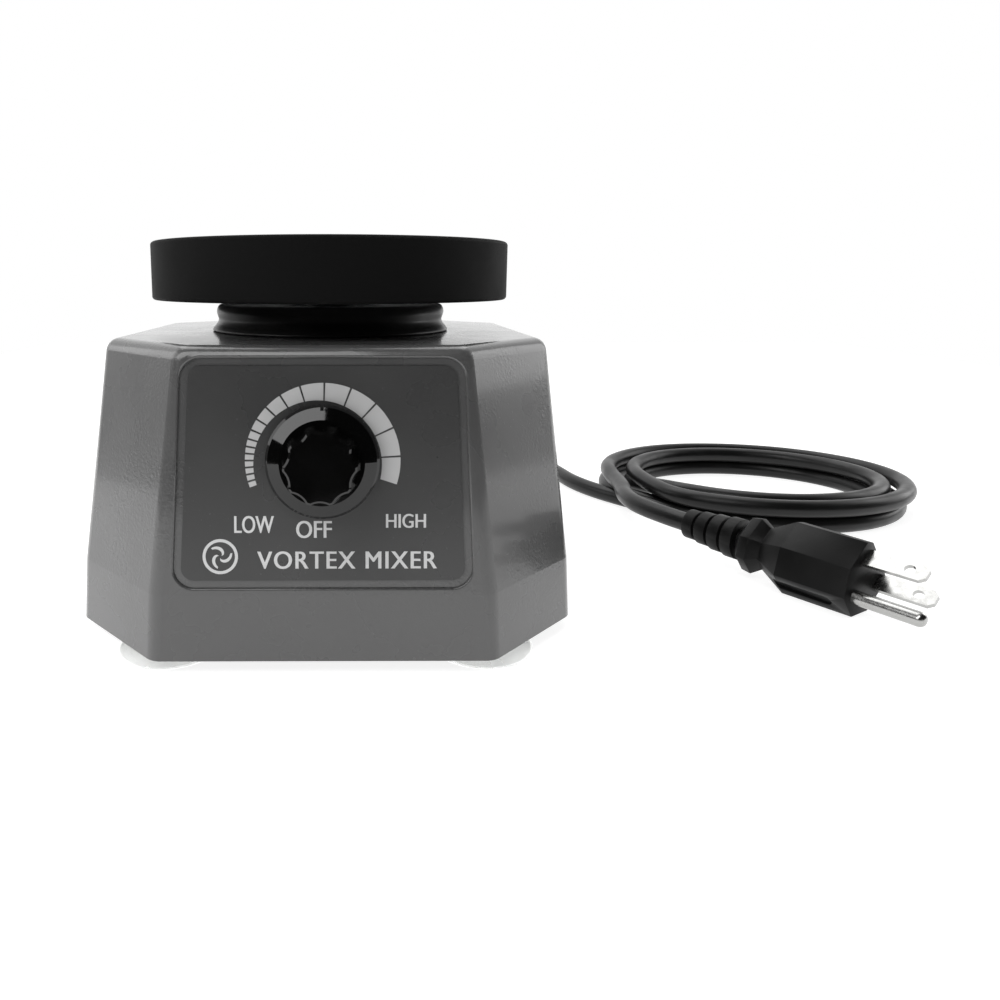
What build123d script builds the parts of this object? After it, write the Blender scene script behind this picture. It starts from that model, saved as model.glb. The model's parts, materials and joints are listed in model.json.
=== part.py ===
"""A bench vortex mixer: a cast eight-sided housing on four suction feet, with a round rubber-covered
platform on top that a motor and crank carry round in a small circle, and a speed knob on the front.

Millimetres. +Z is up, the front faces -Y, and the origin is on the table, midway between the feet.
"""

import math
import os

from build123d import *

# ---------------------------------------------------------------- driving dimensions: outside
foot_height = 4.0  # from the table to the housing's rim
housing_height = 87.5
skirt_height = 19.0  # the upright band round the bottom of the housing
rim_width = 154.0
crease_width = rim_width - 2.0  # where the upright band ends and the walls begin to lean in
top_width = crease_width - 15.0
corner_setback = 29.0  # how far each corner is cut back along both sides
corner_radius = 6.0
top_edge_radius = 4.5
wall = 4.0
top_wall = 5.0

platform_radius = 62.5
platform_height = 19.5
platform_gap = 11.0  # from the housing's top to the platform's underside
cover_wall = 3.5  # rubber round the plate's edge
cover_top = 6.5  # rubber over the plate
cover_lip = 2.0  # rubber hooked under the plate

orbit_radius = 2.0  # the crank's throw
spigot_radius = 36.0  # the ring on the housing that the boot's foot grips
spigot_height = 3.0
opening_radius = spigot_radius - 5.0
boot_radius = spigot_radius + 5.2
boot_wall = 1.8
boot_clearance = 0.3  # between the boot's collar and the platform's hub

panel_bottom_width = crease_width - 2 * corner_setback - 15.0
panel_top_width = panel_bottom_width - 5.5
panel_height = 59.4
panel_rise = 4.1  # from the crease up the slope to the panel's lower edge
panel_thickness = 0.6
panel_corner = 3.5
recess_depth = 0.8
recess_margin = 2.2
recess_round = 0.55  # of the recess's outer rim
dial_rise = 37.5  # from the crease up the slope to the knob's axis

knob_skirt_radius = 15.6
knob_height = 16.2
knob_grip_radius = 10.9
knob_grip_taper = 7.0  # degrees
knob_lobes = 10
knob_clearance = 1.0  # between the skirt's underside and the panel

foot_radius = 15.5
foot_x, foot_y = rim_width / 2 - 30.0, rim_width / 2 - 18.0
fuse_x = corner_setback + 14.0 - crease_width / 2
fuse_rise = 20.0
fuse_cap_length = 15.0
relief_x, relief_z = 20.0, 15.5
relief_length = 22.0  # the strain relief outside the housing
cord_radius = 3.8

# ---------------------------------------------------------------- driving dimensions: inside
fit = 0.05  # between pieces of one body
running_clearance = 0.03  # round a shaft that turns
base_thickness = 3.0
base_inset = 1.0  # the base plate sits this far inside the rim
base_clearance = 0.4
boss_x, boss_y = rim_width / 2 - 15.0, rim_width / 2 - 35.0
boss_radius = 5.0
boss_height = 18.0
screw_radius = 2.0
screw_length = 12.0
head_radius = 3.8
head_height = 2.0
stem_radius = 3.0

shaft_radius = 4.0
shaft_below_bearing = 2.0
stack_height = 24.0
core_half_width = 30.0
core_front = -22.0
core_back = 44.0
limb = 12.0  # width of the core's back limb
window_half_width = 18.0
window_front = 20.0
rotor_radius = 14.0
air_gap = 0.4
coil_build = 9.5  # thickness of the winding
bobbin_wall = 1.2
post_inset = 5.0
post_radius = 4.0
isolator_height = 6.0
isolator_radius = 5.0
bracket_thickness = 2.5
bearing_radius = 6.5
bearing_length = 9.0
bearing_boss_radius = 10.0
lower_spacer_share = 0.527  # of the height left for the spacers below and above the core
fan_radius = 19.0
fan_height = 7.0
fan_blades = 8
crank_height = 11.0
crank_radius = 9.0
counterweight_radius = opening_radius - 5.0
counterweight_height = 9.0

bushing_radius = 4.75  # of the speed control, through the wall
control_radius = 12.0
control_length = 15.0
control_shaft_radius = 3.0
fuse_radius = 6.0
relief_neck = 5.95
board_x, board_y = 84.0, 32.0
board_centre_y = 28.0 - rim_width / 2
board_thickness = 1.6
standoff_height = 6.0

hub_radius = 8.5
hub_drop = 7.0  # the hub below the plate
hub_bore = 6.5
seat_radius = 11.0
seat_height = 7.0
seat_floor = 1.5

# ---------------------------------------------------------------- driving dimensions: cord and plug
coil_x, coil_y = 206.0, 96.0
coil_a, coil_b = 64.0, 51.0  # half the coil's length and width at the middle of its turns
lane = cord_radius + 0.4  # from the middle of the turns to each of the two lanes
coil_half_build = 2 * lane
coil_height = 4 * cord_radius + 0.4
plug_turn = 30.0  # degrees from straight ahead
plug_roll = 37.8  # the plug lies on one of its slanted sides
relief_grip = 24.0  # the plug's own strain relief
plug_length = 42.0
blade_length = 17.5
blade_width, blade_thickness = 6.35, 1.5
blade_spacing = 12.7
ground_offset = 11.9  # from the blades' line to the round pin
ground_radius = 2.4
blades_u = -4.0
plug_half_thickness = 11.2
plug_knee = 5.0  # where the slanted sides begin
plug_tip_u, plug_tip_v = 13.0, 5.0

# ---------------------------------------------------------------- levels and slopes
rim_z = foot_height
crease_z = rim_z + skirt_height
top_z = rim_z + housing_height
ceiling_z = top_z - top_wall
lean = (crease_width - top_width) / 2 / (top_z - crease_z)
tilt = math.atan(lean)  # of the four sloping walls, from upright
plate_bottom_z = rim_z + base_inset
plate_top_z = plate_bottom_z + base_thickness
lower_bracket_z = plate_top_z + isolator_height
crank_gap = 2.5  # from the upper bearing to the crank
motor_height = isolator_height + bracket_thickness + stack_height + bearing_length / 2
crank_rise = 0.75  # the crank's top above the ceiling
crank_room = bracket_thickness / 2 + crank_gap + crank_height - crank_rise
spacer_room = ceiling_z - plate_top_z - motor_height - crank_room
lower_spacer_length = lower_spacer_share * spacer_room
upper_spacer_length = spacer_room - lower_spacer_length
core_z = lower_bracket_z + bracket_thickness + lower_spacer_length
core_top_z = core_z + stack_height
upper_bracket_z = core_top_z + upper_spacer_length
upper_bearing_z = upper_bracket_z - bearing_length / 2 + bracket_thickness / 2
lower_bearing_z = lower_bracket_z - bearing_length / 2 + bracket_thickness / 2
crank_z = upper_bearing_z + bearing_length + crank_gap
shaft_bottom_z = lower_bearing_z - shaft_below_bearing
platform_z = top_z + platform_gap
platform_top_z = platform_z + platform_height
disc_z = platform_z + cover_lip
disc_top_z = platform_top_z - cover_top
disc_radius = platform_radius - cover_wall
seat_z = disc_z + seat_floor
pin_top_z = seat_z + seat_height
relief_end_y = rim_width / 2 + relief_length

os.makedirs("parts", exist_ok=True)


def save(builder, name):
    """Label a finished piece and write it as its own STEP file."""
    builder.part.label = name
    export_step(builder.part, f"parts/{name}.step")


def width_at(z):
    """Outer width across the flats of the housing at a height."""
    if z <= crease_z:
        return rim_width + (crease_width - rim_width) * (z - rim_z) / skirt_height
    return crease_width - 2 * lean * (z - crease_z)


def octagon_corners(width, setback):
    """Corners of a square with its corners cut back, in order round the outline."""
    half, flat = width / 2, width / 2 - setback
    quarter = [(flat, -half), (half, -flat)]
    corners = []
    for _ in range(4):
        corners += quarter
        quarter = [(-y, x) for x, y in quarter]
    return corners


def inset_setback(inset):
    """Setback of the octagon that lies inset inside the housing's outline all round."""
    return corner_setback - inset * (2 - math.sqrt(2))


def octagon_section(z, inset, radius):
    """The housing's outline at a height, taken in by inset, as a flat sketch."""
    with BuildSketch(Plane.XY.offset(z)) as section:
        Polygon(*octagon_corners(width_at(z) - 2 * inset, inset_setback(inset)), align=None)
        fillet(section.vertices(), radius)
    return section.sketch


def slope_plane(rise, front=True, x=0.0):
    """Plane on the sloping front or rear wall, rise up the slope; its Z points out of the housing."""
    side = -1 if front else 1
    y = side * (crease_width / 2 - rise * math.sin(tilt))
    z = crease_z + rise * math.cos(tilt)
    normal = (0, side * math.cos(tilt), math.sin(tilt))
    return Plane(origin=(x, y, z), x_dir=(-side, 0, 0), z_dir=normal)


def axial_plane(spindle, lift=0.0):
    """Sketch plane through a spindle plane's axis: x is the radius and y runs along the axis."""
    origin = Vector(*spindle.origin) + Vector(*spindle.z_dir) * lift
    return Plane(origin=origin, x_dir=spindle.x_dir, z_dir=spindle.x_dir.cross(spindle.z_dir))


def turned(profile, spindle=Plane.XY):
    """A closed profile of (radius, height) points, drawn beside the axis that it is turned round."""
    with BuildSketch(axial_plane(spindle)) as outline:
        Polygon(*profile, align=None)
    return outline.sketch


def spindle_axis(spindle):
    """The axis that a piece on a spindle plane is turned round."""
    return Axis(spindle.origin, spindle.z_dir)


def bend_radii(points):
    """The largest even bend that the runs each side of every inner point allow."""
    radii = []
    for before, here, after in zip(points, points[1:], points[2:]):
        run_in, run_out = here - before, after - here
        shorter = min(run_in.length, run_out.length)
        half_turn = math.radians(run_in.get_angle(run_out)) / 2
        radii.append(0.45 * shorter / math.tan(half_turn))
    print("cord bends, mm:", [round(radius) for radius in radii])
    return radii


dial_plane = slope_plane(dial_rise)
fuse_plane = slope_plane(fuse_rise, front=False, x=fuse_x)
relief_plane = Plane((relief_x, 0, relief_z), x_dir=(1, 0, 0), z_dir=(0, 1, 0))
feet = {
    f"suction_foot_{end}_{side}": (x, y)
    for side, x in (("left", -foot_x), ("right", foot_x))
    for end, y in (("front", -foot_y), ("rear", foot_y))
}
bosses = [(x, y) for x in (-boss_x, boss_x) for y in (-boss_y, boss_y)]
posts = [
    (x, y)
    for x in (-core_half_width + post_inset, core_half_width - post_inset)
    for y in (core_front + post_inset, core_back - post_inset)
]

# ---------------------------------------------------------------- housing
boss_web = 4.0


def panel_outline(margin, lift=0.0):
    """The dial panel's outline on the dial plane, grown by margin all round."""
    bottom = panel_rise - dial_rise - margin
    top = panel_rise + panel_height - dial_rise + margin
    low, high = panel_bottom_width / 2 + margin, panel_top_width / 2 + margin
    with BuildSketch(dial_plane.offset(lift)) as outline:
        Polygon((-low, bottom), (low, bottom), (high, top), (-high, top), align=None)
        fillet(outline.vertices(), panel_corner + margin)
    return outline.sketch


with BuildPart() as housing:
    for level in (rim_z, crease_z, top_z):
        add(octagon_section(level, 0, corner_radius))
    loft(ruled=True)
    fillet(housing.edges().group_by(Axis.Z)[-1], top_edge_radius)
    for level in (rim_z, crease_z, ceiling_z):
        add(octagon_section(level, wall, corner_radius - wall))
    loft(ruled=True, mode=Mode.SUBTRACT)
    with BuildSketch(Plane.XY.offset(top_z)):
        Circle(spigot_radius)
    extrude(amount=spigot_height)
    with BuildSketch(Plane.XY.offset(ceiling_z)):
        Circle(opening_radius)
    extrude(amount=top_wall + spigot_height, mode=Mode.SUBTRACT)
    chamfer(housing.edges().filter_by(GeomType.CIRCLE).group_by(Axis.Z)[-1], 0.6)
    # Screw bosses for the base plate, each tied to its corner by a web.
    to_corner = (width_at(plate_top_z) - corner_setback - boss_x - boss_y) / math.sqrt(2) - wall / 2
    with BuildSketch(Plane.XY.offset(plate_top_z)):
        with Locations(*bosses):
            Circle(boss_radius)
        for x, y in bosses:
            with Locations(Location((x, y), math.degrees(math.atan2(y / boss_y, x / boss_x)))):
                Rectangle(to_corner, boss_web, align=(Align.MIN, Align.CENTER))
    extrude(amount=boss_height)
    with BuildSketch(Plane.XY.offset(plate_top_z)):
        with Locations(*bosses):
            Circle(screw_radius)
    extrude(amount=screw_length, mode=Mode.SUBTRACT)
    recess = panel_outline(recess_margin)
    extrude(recess, amount=recess_depth, dir=-dial_plane.z_dir, mode=Mode.SUBTRACT)
    outward = spindle_axis(dial_plane)
    recess_walls = (
        housing.faces()
        .filter_by_position(outward, -0.9 * recess_depth, -0.1 * recess_depth)
        .filter_by(lambda face: abs(face.normal_at().dot(outward.direction)) < 0.05)
    )
    fillet(recess_walls.edges().filter_by_position(outward, -0.01, 0.01), recess_round)
    with BuildSketch(dial_plane):
        Circle(bushing_radius + fit)
    extrude(amount=-2 * wall, mode=Mode.SUBTRACT)
    with BuildSketch(fuse_plane):
        Circle(fuse_radius + fit)
    extrude(amount=-2 * wall, mode=Mode.SUBTRACT)
    with BuildSketch(relief_plane.offset(rim_width / 2 - 2 * wall)):
        Circle(relief_neck + fit)
    extrude(amount=3 * wall, mode=Mode.SUBTRACT)
save(housing, "housing")

# ---------------------------------------------------------------- base plate, its screws and the feet
vent_length, vent_width, vent_pitch = 28.0, 3.5, 8.0
barb_radius, barb_height = 4.4, 3.0
lip_width, lip_height = 1.0, 1.2
dome_height = 2.6
neck_radius = 7.0

with BuildPart() as base_plate:
    add(octagon_section(plate_top_z, wall + base_clearance, corner_radius - wall))
    extrude(amount=-base_thickness)
    with BuildSketch(Plane.XY.offset(plate_bottom_z)):
        with Locations(*feet.values()):
            Circle(stem_radius + fit)
        with Locations(*bosses, *posts):
            Circle(screw_radius + fit)
        with Locations((0, (core_front + core_back) / 2)):
            with GridLocations(0, vent_pitch, 1, 5):
                SlotOverall(vent_length, vent_width)
    extrude(amount=base_thickness, mode=Mode.SUBTRACT)
save(base_plate, "base_plate")

with BuildPart() as base_screws:
    with BuildSketch(Plane.XY.offset(plate_bottom_z - head_height)):
        with Locations(*bosses):
            Circle(head_radius)
    extrude(amount=head_height)
    fillet(base_screws.edges().group_by(Axis.Z)[0], head_height / 2)
    with BuildSketch(Plane.XY.offset(plate_bottom_z)):
        with Locations(*bosses):
            Circle(screw_radius - fit)
    extrude(amount=base_thickness + screw_length - 1)
    with BuildSketch(Plane.XY.offset(plate_bottom_z - head_height)):
        with Locations(*bosses):
            Rectangle(head_radius * 1.1, 0.9)
            Rectangle(0.9, head_radius * 1.1)
    extrude(amount=head_height * 0.6, mode=Mode.SUBTRACT)
save(base_screws, "base_screws")

foot_profile = [
    (0, dome_height),
    (foot_radius * 0.55, dome_height * 0.8),
    (foot_radius - lip_width, 0),
    (foot_radius, 0),
    (foot_radius, lip_height * 0.4),
    (foot_radius - lip_width, lip_height),
    (neck_radius + 2, foot_height * 0.75),
    (neck_radius, plate_bottom_z),
    (stem_radius, plate_bottom_z),
    (stem_radius, plate_top_z),
    (barb_radius, plate_top_z),
    (stem_radius - 0.5, plate_top_z + barb_height),
    (0, plate_top_z + barb_height),
]
for name, (x, y) in feet.items():
    with BuildPart() as foot:
        spindle = Plane((x, y, 0))
        add(turned(foot_profile, spindle))
        revolve(axis=spindle_axis(spindle))
    save(foot, name)

# ---------------------------------------------------------------- dial panel and speed control
panel_face = panel_thickness - recess_depth  # the panel's outer face, from the sloping wall
wall_back = -wall * math.cos(tilt)
washer_thickness = 0.8
washer_radius = 8.5
nut_thickness = 2.2
nut_radius = 6.2
bushing_end = panel_face + nut_thickness + 1.0
knob_base = panel_face + knob_clearance
skirt_edge = 1.9
skirt_round = 0.7
skirt_rise = 4.6
skirt_top_radius = 11.6
skirt_lip = 1.6
index_width = 0.9
index_length = 1.6
shaft_engagement = 10.0
control_shaft_end = knob_base + shaft_engagement + 2.0
lobe_cutter = 3.6
lobe_depth = 0.9
grub_radius = 1.5
grub_level = skirt_rise + 3.0

with BuildPart() as dial_panel:
    extrude(panel_outline(0, -recess_depth), amount=panel_thickness, dir=dial_plane.z_dir)
    with BuildSketch(dial_plane.offset(panel_face)):
        Circle(bushing_radius + fit)
    extrude(amount=-2 * panel_thickness, mode=Mode.SUBTRACT)
save(dial_panel, "dial_panel")

with BuildPart() as control_body:
    with BuildSketch(dial_plane.offset(wall_back - washer_thickness)):
        Circle(control_radius)
    extrude(amount=-control_length)
    fillet(control_body.edges(), 0.8)
    with BuildSketch(dial_plane.offset(wall_back - washer_thickness)):
        Circle(bushing_radius)
    extrude(amount=bushing_end - wall_back + washer_thickness)
    with BuildSketch(dial_plane.offset(bushing_end)):
        Circle(control_shaft_radius + running_clearance)
    extrude(amount=wall_back - washer_thickness - bushing_end, mode=Mode.SUBTRACT)
    with BuildSketch(dial_plane.offset(wall_back - washer_thickness - control_length * 0.6)):
        with Locations((-6, -control_radius), (0, -control_radius), (6, -control_radius)):
            Rectangle(2.0, 8.0)
    extrude(amount=0.8)
save(control_body, "speed_control_body")

with BuildPart() as control_shaft:
    with BuildSketch(dial_plane.offset(wall_back - washer_thickness)):
        Circle(control_shaft_radius)
    extrude(amount=control_shaft_end - wall_back + washer_thickness)
    chamfer(control_shaft.edges().sort_by(spindle_axis(dial_plane))[-1], 0.4)
save(control_shaft, "speed_control_shaft")

with BuildPart() as control_washer:
    with BuildSketch(dial_plane.offset(wall_back)):
        Circle(washer_radius)
        Circle(bushing_radius + fit, mode=Mode.SUBTRACT)
    extrude(amount=-washer_thickness + fit)
save(control_washer, "speed_control_washer")

with BuildPart() as control_nut:
    with BuildSketch(dial_plane.offset(panel_face)):
        RegularPolygon(nut_radius, 6, major_radius=False)
        Circle(bushing_radius + fit, mode=Mode.SUBTRACT)
    extrude(amount=nut_thickness)
save(control_nut, "speed_control_nut")

# ---------------------------------------------------------------- knob
knob_profile = [
    (0, knob_base + 1),
    (knob_skirt_radius - skirt_lip, knob_base + 1),
    (knob_skirt_radius - skirt_lip, knob_base),
    (knob_skirt_radius, knob_base),
    (knob_skirt_radius, knob_base + skirt_edge),
    (knob_skirt_radius - skirt_round, knob_base + skirt_edge + skirt_round),
    (skirt_top_radius, knob_base + skirt_rise),
    (0, knob_base + skirt_rise),
]
nut_pocket_radius = 8.2
nut_pocket_depth = panel_face + nut_thickness + 1.8 - knob_base

with BuildPart() as knob:
    add(turned(knob_profile, dial_plane))
    revolve(axis=spindle_axis(dial_plane))
    with BuildSketch(dial_plane.offset(knob_base + skirt_rise)) as grip:
        Circle(knob_grip_radius)
        with PolarLocations(knob_grip_radius - lobe_depth + lobe_cutter, knob_lobes, start_angle=18):
            Circle(lobe_cutter, mode=Mode.SUBTRACT)
        fillet(grip.vertices(), 0.6)
    extrude(amount=knob_height - skirt_rise, taper=knob_grip_taper)
    knob_end = knob.faces().sort_by(spindle_axis(dial_plane))[-1]
    chamfer(knob_end.edges(), 0.5)
    with BuildSketch(dial_plane.offset(knob_base)):
        Circle(nut_pocket_radius)
    extrude(amount=nut_pocket_depth, mode=Mode.SUBTRACT)
    with BuildSketch(dial_plane.offset(knob_base)):
        Circle(control_shaft_radius + fit)
    extrude(amount=control_shaft_end - knob_base + fit, mode=Mode.SUBTRACT)
    with BuildSketch(dial_plane.offset(knob_base + skirt_rise)):
        with Locations((0, knob_skirt_radius)):
            Rectangle(index_width, 2 * index_length)
    extrude(amount=-skirt_rise, mode=Mode.SUBTRACT)
    grub_plane = Plane(
        origin=Vector(*dial_plane.origin) + Vector(*dial_plane.z_dir) * (knob_base + grub_level),
        x_dir=dial_plane.x_dir,
        z_dir=-dial_plane.y_dir,
    )
    with BuildSketch(grub_plane):
        Circle(grub_radius)
    extrude(amount=knob_skirt_radius, mode=Mode.SUBTRACT)
save(knob, "knob")

with BuildPart() as grub_screw:
    with BuildSketch(grub_plane.offset(control_shaft_radius)):
        Circle(grub_radius - fit)
    extrude(amount=5.0)
save(grub_screw, "knob_set_screw")

# ---------------------------------------------------------------- motor: frame that stays still
bearing_bore = shaft_radius + running_clearance
bracket_corner = 5.0
bracket_window = 5.5
bracket_window_circle = 17.0
bolt_end_z = upper_bracket_z + bracket_thickness + 5.0
nut_height = 3.2
bolt_nut_radius = 3.5
core_middle_y = (core_front + core_back) / 2
core_depth = core_back - core_front
limb_front_y = core_back - limb


def bracket_sketch(z):
    """Outline of a motor bracket with its post holes and air windows."""
    with BuildSketch(Plane.XY.offset(z)) as outline:
        with Locations((0, core_middle_y)):
            RectangleRounded(2 * core_half_width, core_depth, bracket_corner)
        with Locations(*posts):
            Circle(screw_radius + fit, mode=Mode.SUBTRACT)
        with PolarLocations(bracket_window_circle, 4, start_angle=45):
            Circle(bracket_window, mode=Mode.SUBTRACT)
    return outline.sketch


for name, plate_z, bush_z in (
    ("lower", lower_bracket_z, lower_bearing_z),
    ("upper", upper_bracket_z, upper_bearing_z),
):
    with BuildPart() as bracket:
        extrude(bracket_sketch(plate_z), amount=bracket_thickness)
        with BuildSketch(Plane.XY.offset(bush_z)):
            Circle(bearing_boss_radius)
        extrude(amount=bearing_length)
        with BuildSketch(Plane.XY.offset(bush_z)):
            Circle(bearing_radius + fit)
        extrude(amount=bearing_length, mode=Mode.SUBTRACT)
    save(bracket, f"{name}_bracket")
    with BuildPart() as bearing:
        with BuildSketch(Plane.XY.offset(bush_z)):
            Circle(bearing_radius)
        extrude(amount=bearing_length)
        chamfer(bearing.edges(), 0.5)
        with BuildSketch(Plane.XY.offset(bush_z)):
            Circle(bearing_bore)
        extrude(amount=bearing_length, mode=Mode.SUBTRACT)
    save(bearing, f"{name}_bearing")

with BuildPart() as isolators:
    with BuildSketch(Plane.XY.offset(plate_top_z)):
        with Locations(*posts):
            Circle(isolator_radius)
            Circle(screw_radius + fit, mode=Mode.SUBTRACT)
    extrude(amount=isolator_height)
save(isolators, "motor_isolators")

for name, spacer_z, length in (
    ("lower_spacers", lower_bracket_z + bracket_thickness, lower_spacer_length),
    ("upper_spacers", core_top_z, upper_spacer_length),
):
    with BuildPart() as spacers:
        with BuildSketch(Plane.XY.offset(spacer_z)):
            with Locations(*posts):
                Circle(post_radius)
                Circle(screw_radius + fit, mode=Mode.SUBTRACT)
        extrude(amount=length)
    save(spacers, name)

with BuildPart() as motor_bolts:
    with BuildSketch(Plane.XY.offset(plate_bottom_z - head_height)):
        with Locations(*posts):
            Circle(head_radius)
            RegularPolygon(screw_radius * 0.7, 6, mode=Mode.SUBTRACT)
    extrude(amount=head_height * 0.6)
    with BuildSketch(Plane.XY.offset(plate_bottom_z - head_height * 0.4)):
        with Locations(*posts):
            Circle(head_radius)
    extrude(amount=head_height * 0.4)
    with BuildSketch(Plane.XY.offset(plate_bottom_z)):
        with Locations(*posts):
            Circle(screw_radius)
    extrude(amount=bolt_end_z - plate_bottom_z)
save(motor_bolts, "motor_bolts")

with BuildPart() as motor_nuts:
    with BuildSketch(Plane.XY.offset(upper_bracket_z + bracket_thickness)):
        with Locations(*posts):
            RegularPolygon(bolt_nut_radius, 6, major_radius=False)
            Circle(screw_radius + fit, mode=Mode.SUBTRACT)
    extrude(amount=nut_height)
save(motor_nuts, "motor_nuts")

with BuildPart() as stator_core:
    with BuildSketch(Plane.XY.offset(core_z)):
        with Locations((0, core_middle_y)):
            RectangleRounded(2 * core_half_width, core_depth, 2.0)
        Circle(rotor_radius + air_gap, mode=Mode.SUBTRACT)
        with Locations((0, (window_front + limb_front_y) / 2)):
            Rectangle(2 * window_half_width, limb_front_y - window_front, mode=Mode.SUBTRACT)
        with Locations(*posts):
            Circle(screw_radius + fit, mode=Mode.SUBTRACT)
        shading_slots = [(x, y) for x in (-rotor_radius - 4.5, rotor_radius + 4.5) for y in (-6.0, 6.0)]
        with Locations(*shading_slots):
            Rectangle(3.0, 2.2, mode=Mode.SUBTRACT)
    extrude(amount=stack_height)
save(stator_core, "stator_core")

with BuildPart() as shading_rings:
    for x in (-rotor_radius - 4.5, rotor_radius + 4.5):
        with BuildSketch(Plane.XY.offset(core_z - 1.5)):
            with Locations((x, 0)):
                Rectangle(2.0, 14.0)
                Rectangle(2.0, 10.0, mode=Mode.SUBTRACT)
        extrude(amount=stack_height + 3.0)
        with BuildSketch(Plane.XY.offset(core_z - 1.5)):
            with Locations((x, 0)):
                Rectangle(2.0, 14.0)
        extrude(amount=1.4)
        with BuildSketch(Plane.XY.offset(core_top_z + 0.1)):
            with Locations((x, 0)):
                Rectangle(2.0, 14.0)
        extrude(amount=1.4)
save(shading_rings, "shading_rings")

limb_middle_y = core_back - limb / 2
bobbin_clear = 0.2
bobbin_flange = 2.0
bobbin_half = window_half_width - bobbin_clear


def coil_section(x, grow):
    """Rectangle round the core's back limb, grown by grow all round, across the limb at x."""
    with BuildSketch(Plane((x, limb_middle_y, core_z + stack_height / 2), x_dir=(0, 1, 0), z_dir=(1, 0, 0))) as s:
        RectangleRounded(limb + 2 * grow, stack_height + 2 * grow, max(0.5, grow * 0.4))
    return s.sketch


with BuildPart() as bobbin:
    extrude(coil_section(-bobbin_half, bobbin_clear + bobbin_wall), amount=2 * bobbin_half, dir=(1, 0, 0))
    for x in (-bobbin_half, bobbin_half - bobbin_flange):
        section = coil_section(x, bobbin_clear + bobbin_wall + coil_build - 0.3)
        extrude(section, amount=bobbin_flange, dir=(1, 0, 0))
    section = coil_section(-bobbin_half, bobbin_clear)
    extrude(section, amount=2 * bobbin_half, dir=(1, 0, 0), mode=Mode.SUBTRACT)
save(bobbin, "coil_bobbin")

with BuildPart() as winding:
    start = -bobbin_half + bobbin_flange + fit
    length = 2 * (bobbin_half - bobbin_flange - fit)
    section = coil_section(start, bobbin_clear + bobbin_wall + coil_build - 1.0)
    extrude(section, amount=length, dir=(1, 0, 0))
    section = coil_section(start, bobbin_clear + bobbin_wall + fit)
    extrude(section, amount=length, dir=(1, 0, 0), mode=Mode.SUBTRACT)
save(winding, "field_winding")

# ---------------------------------------------------------------- motor: what turns
shaft_top_z = crank_z + crank_height * 0.5
pin_bottom_z = shaft_top_z + 0.5
end_ring = 3.0
fan_z = lower_bracket_z + bracket_thickness + 3.5
fan_hub_radius = 6.5
fan_plate = 1.2

with BuildPart() as shaft:
    with BuildSketch(Plane.XY.offset(shaft_bottom_z)):
        Circle(shaft_radius)
    extrude(amount=shaft_top_z - shaft_bottom_z)
    chamfer(shaft.edges(), 0.5)
save(shaft, "motor_shaft")

with BuildPart() as rotor:
    with BuildSketch(Plane.XY.offset(core_z)):
        Circle(rotor_radius)
    extrude(amount=stack_height)
    with BuildSketch(Plane.XY.offset(core_z - end_ring)):
        Circle(rotor_radius - 1.0)
        Circle(rotor_radius - 4.5, mode=Mode.SUBTRACT)
    extrude(amount=stack_height + 2 * end_ring)
    with BuildSketch(Plane.XY.offset(core_z)):
        Circle(shaft_radius + fit)
    extrude(amount=stack_height, mode=Mode.SUBTRACT)
save(rotor, "rotor")

with BuildPart() as fan:
    with BuildSketch(Plane.XY.offset(fan_z)):
        Circle(fan_hub_radius)
    extrude(amount=fan_height)
    with BuildSketch(Plane.XY.offset(fan_z)):
        Circle(fan_radius)
    extrude(amount=fan_plate)
    with BuildSketch(Plane.XY.offset(fan_z)):
        with PolarLocations((fan_radius + fan_hub_radius) / 2 - 0.5, fan_blades):
            Rectangle(fan_radius - fan_hub_radius, 1.2)
    extrude(amount=fan_height)
    with BuildSketch(Plane.XY.offset(fan_z)):
        Circle(shaft_radius + fit)
    extrude(amount=fan_height, mode=Mode.SUBTRACT)
save(fan, "cooling_fan")

pin_y = orbit_radius
crank_screw_z = crank_z + crank_height * 0.25

with BuildPart() as crank:
    with BuildSketch(Plane.XY.offset(crank_z)):
        Circle(crank_radius)
    extrude(amount=crank_height)
    with BuildSketch(Plane.XY.offset(crank_z)):
        Circle(counterweight_radius)
        with Locations((0, counterweight_radius)):
            Rectangle(3 * counterweight_radius, 2 * counterweight_radius, mode=Mode.SUBTRACT)
    extrude(amount=counterweight_height)
    with BuildSketch(Plane.XY.offset(crank_z)):
        Circle(shaft_radius + fit)
    extrude(amount=shaft_top_z - crank_z + 0.25, mode=Mode.SUBTRACT)
    with BuildSketch(Plane.XY.offset(pin_bottom_z)):
        with Locations((0, pin_y)):
            Circle(shaft_radius + fit)
    extrude(amount=crank_height, mode=Mode.SUBTRACT)
    screw_plane = Plane((0, 0, crank_screw_z), x_dir=(1, 0, 0), z_dir=(0, 1, 0))
    with BuildSketch(screw_plane):
        Circle(screw_radius)
    extrude(amount=2 * crank_radius, mode=Mode.SUBTRACT)
save(crank, "crank")

with BuildPart() as crank_screw:
    with BuildSketch(screw_plane.offset(shaft_radius + fit)):
        Circle(screw_radius - fit)
    extrude(amount=crank_radius - shaft_radius)
save(crank_screw, "crank_set_screw")

pin_washer_thickness = 1.0
pin_washer_radius = 5.8
pin_head_radius = 4.5
pin_head_height = 1.4
pin_screw_length = 10.0
pin_plane = Plane((0, pin_y, 0))

with BuildPart() as crank_pin:
    with BuildSketch(pin_plane.offset(pin_bottom_z)):
        Circle(shaft_radius)
    extrude(amount=pin_top_z - pin_bottom_z)
    with BuildSketch(pin_plane.offset(pin_top_z)):
        Circle(screw_radius)
    extrude(amount=-pin_screw_length - 1, mode=Mode.SUBTRACT)
save(crank_pin, "crank_pin")

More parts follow.
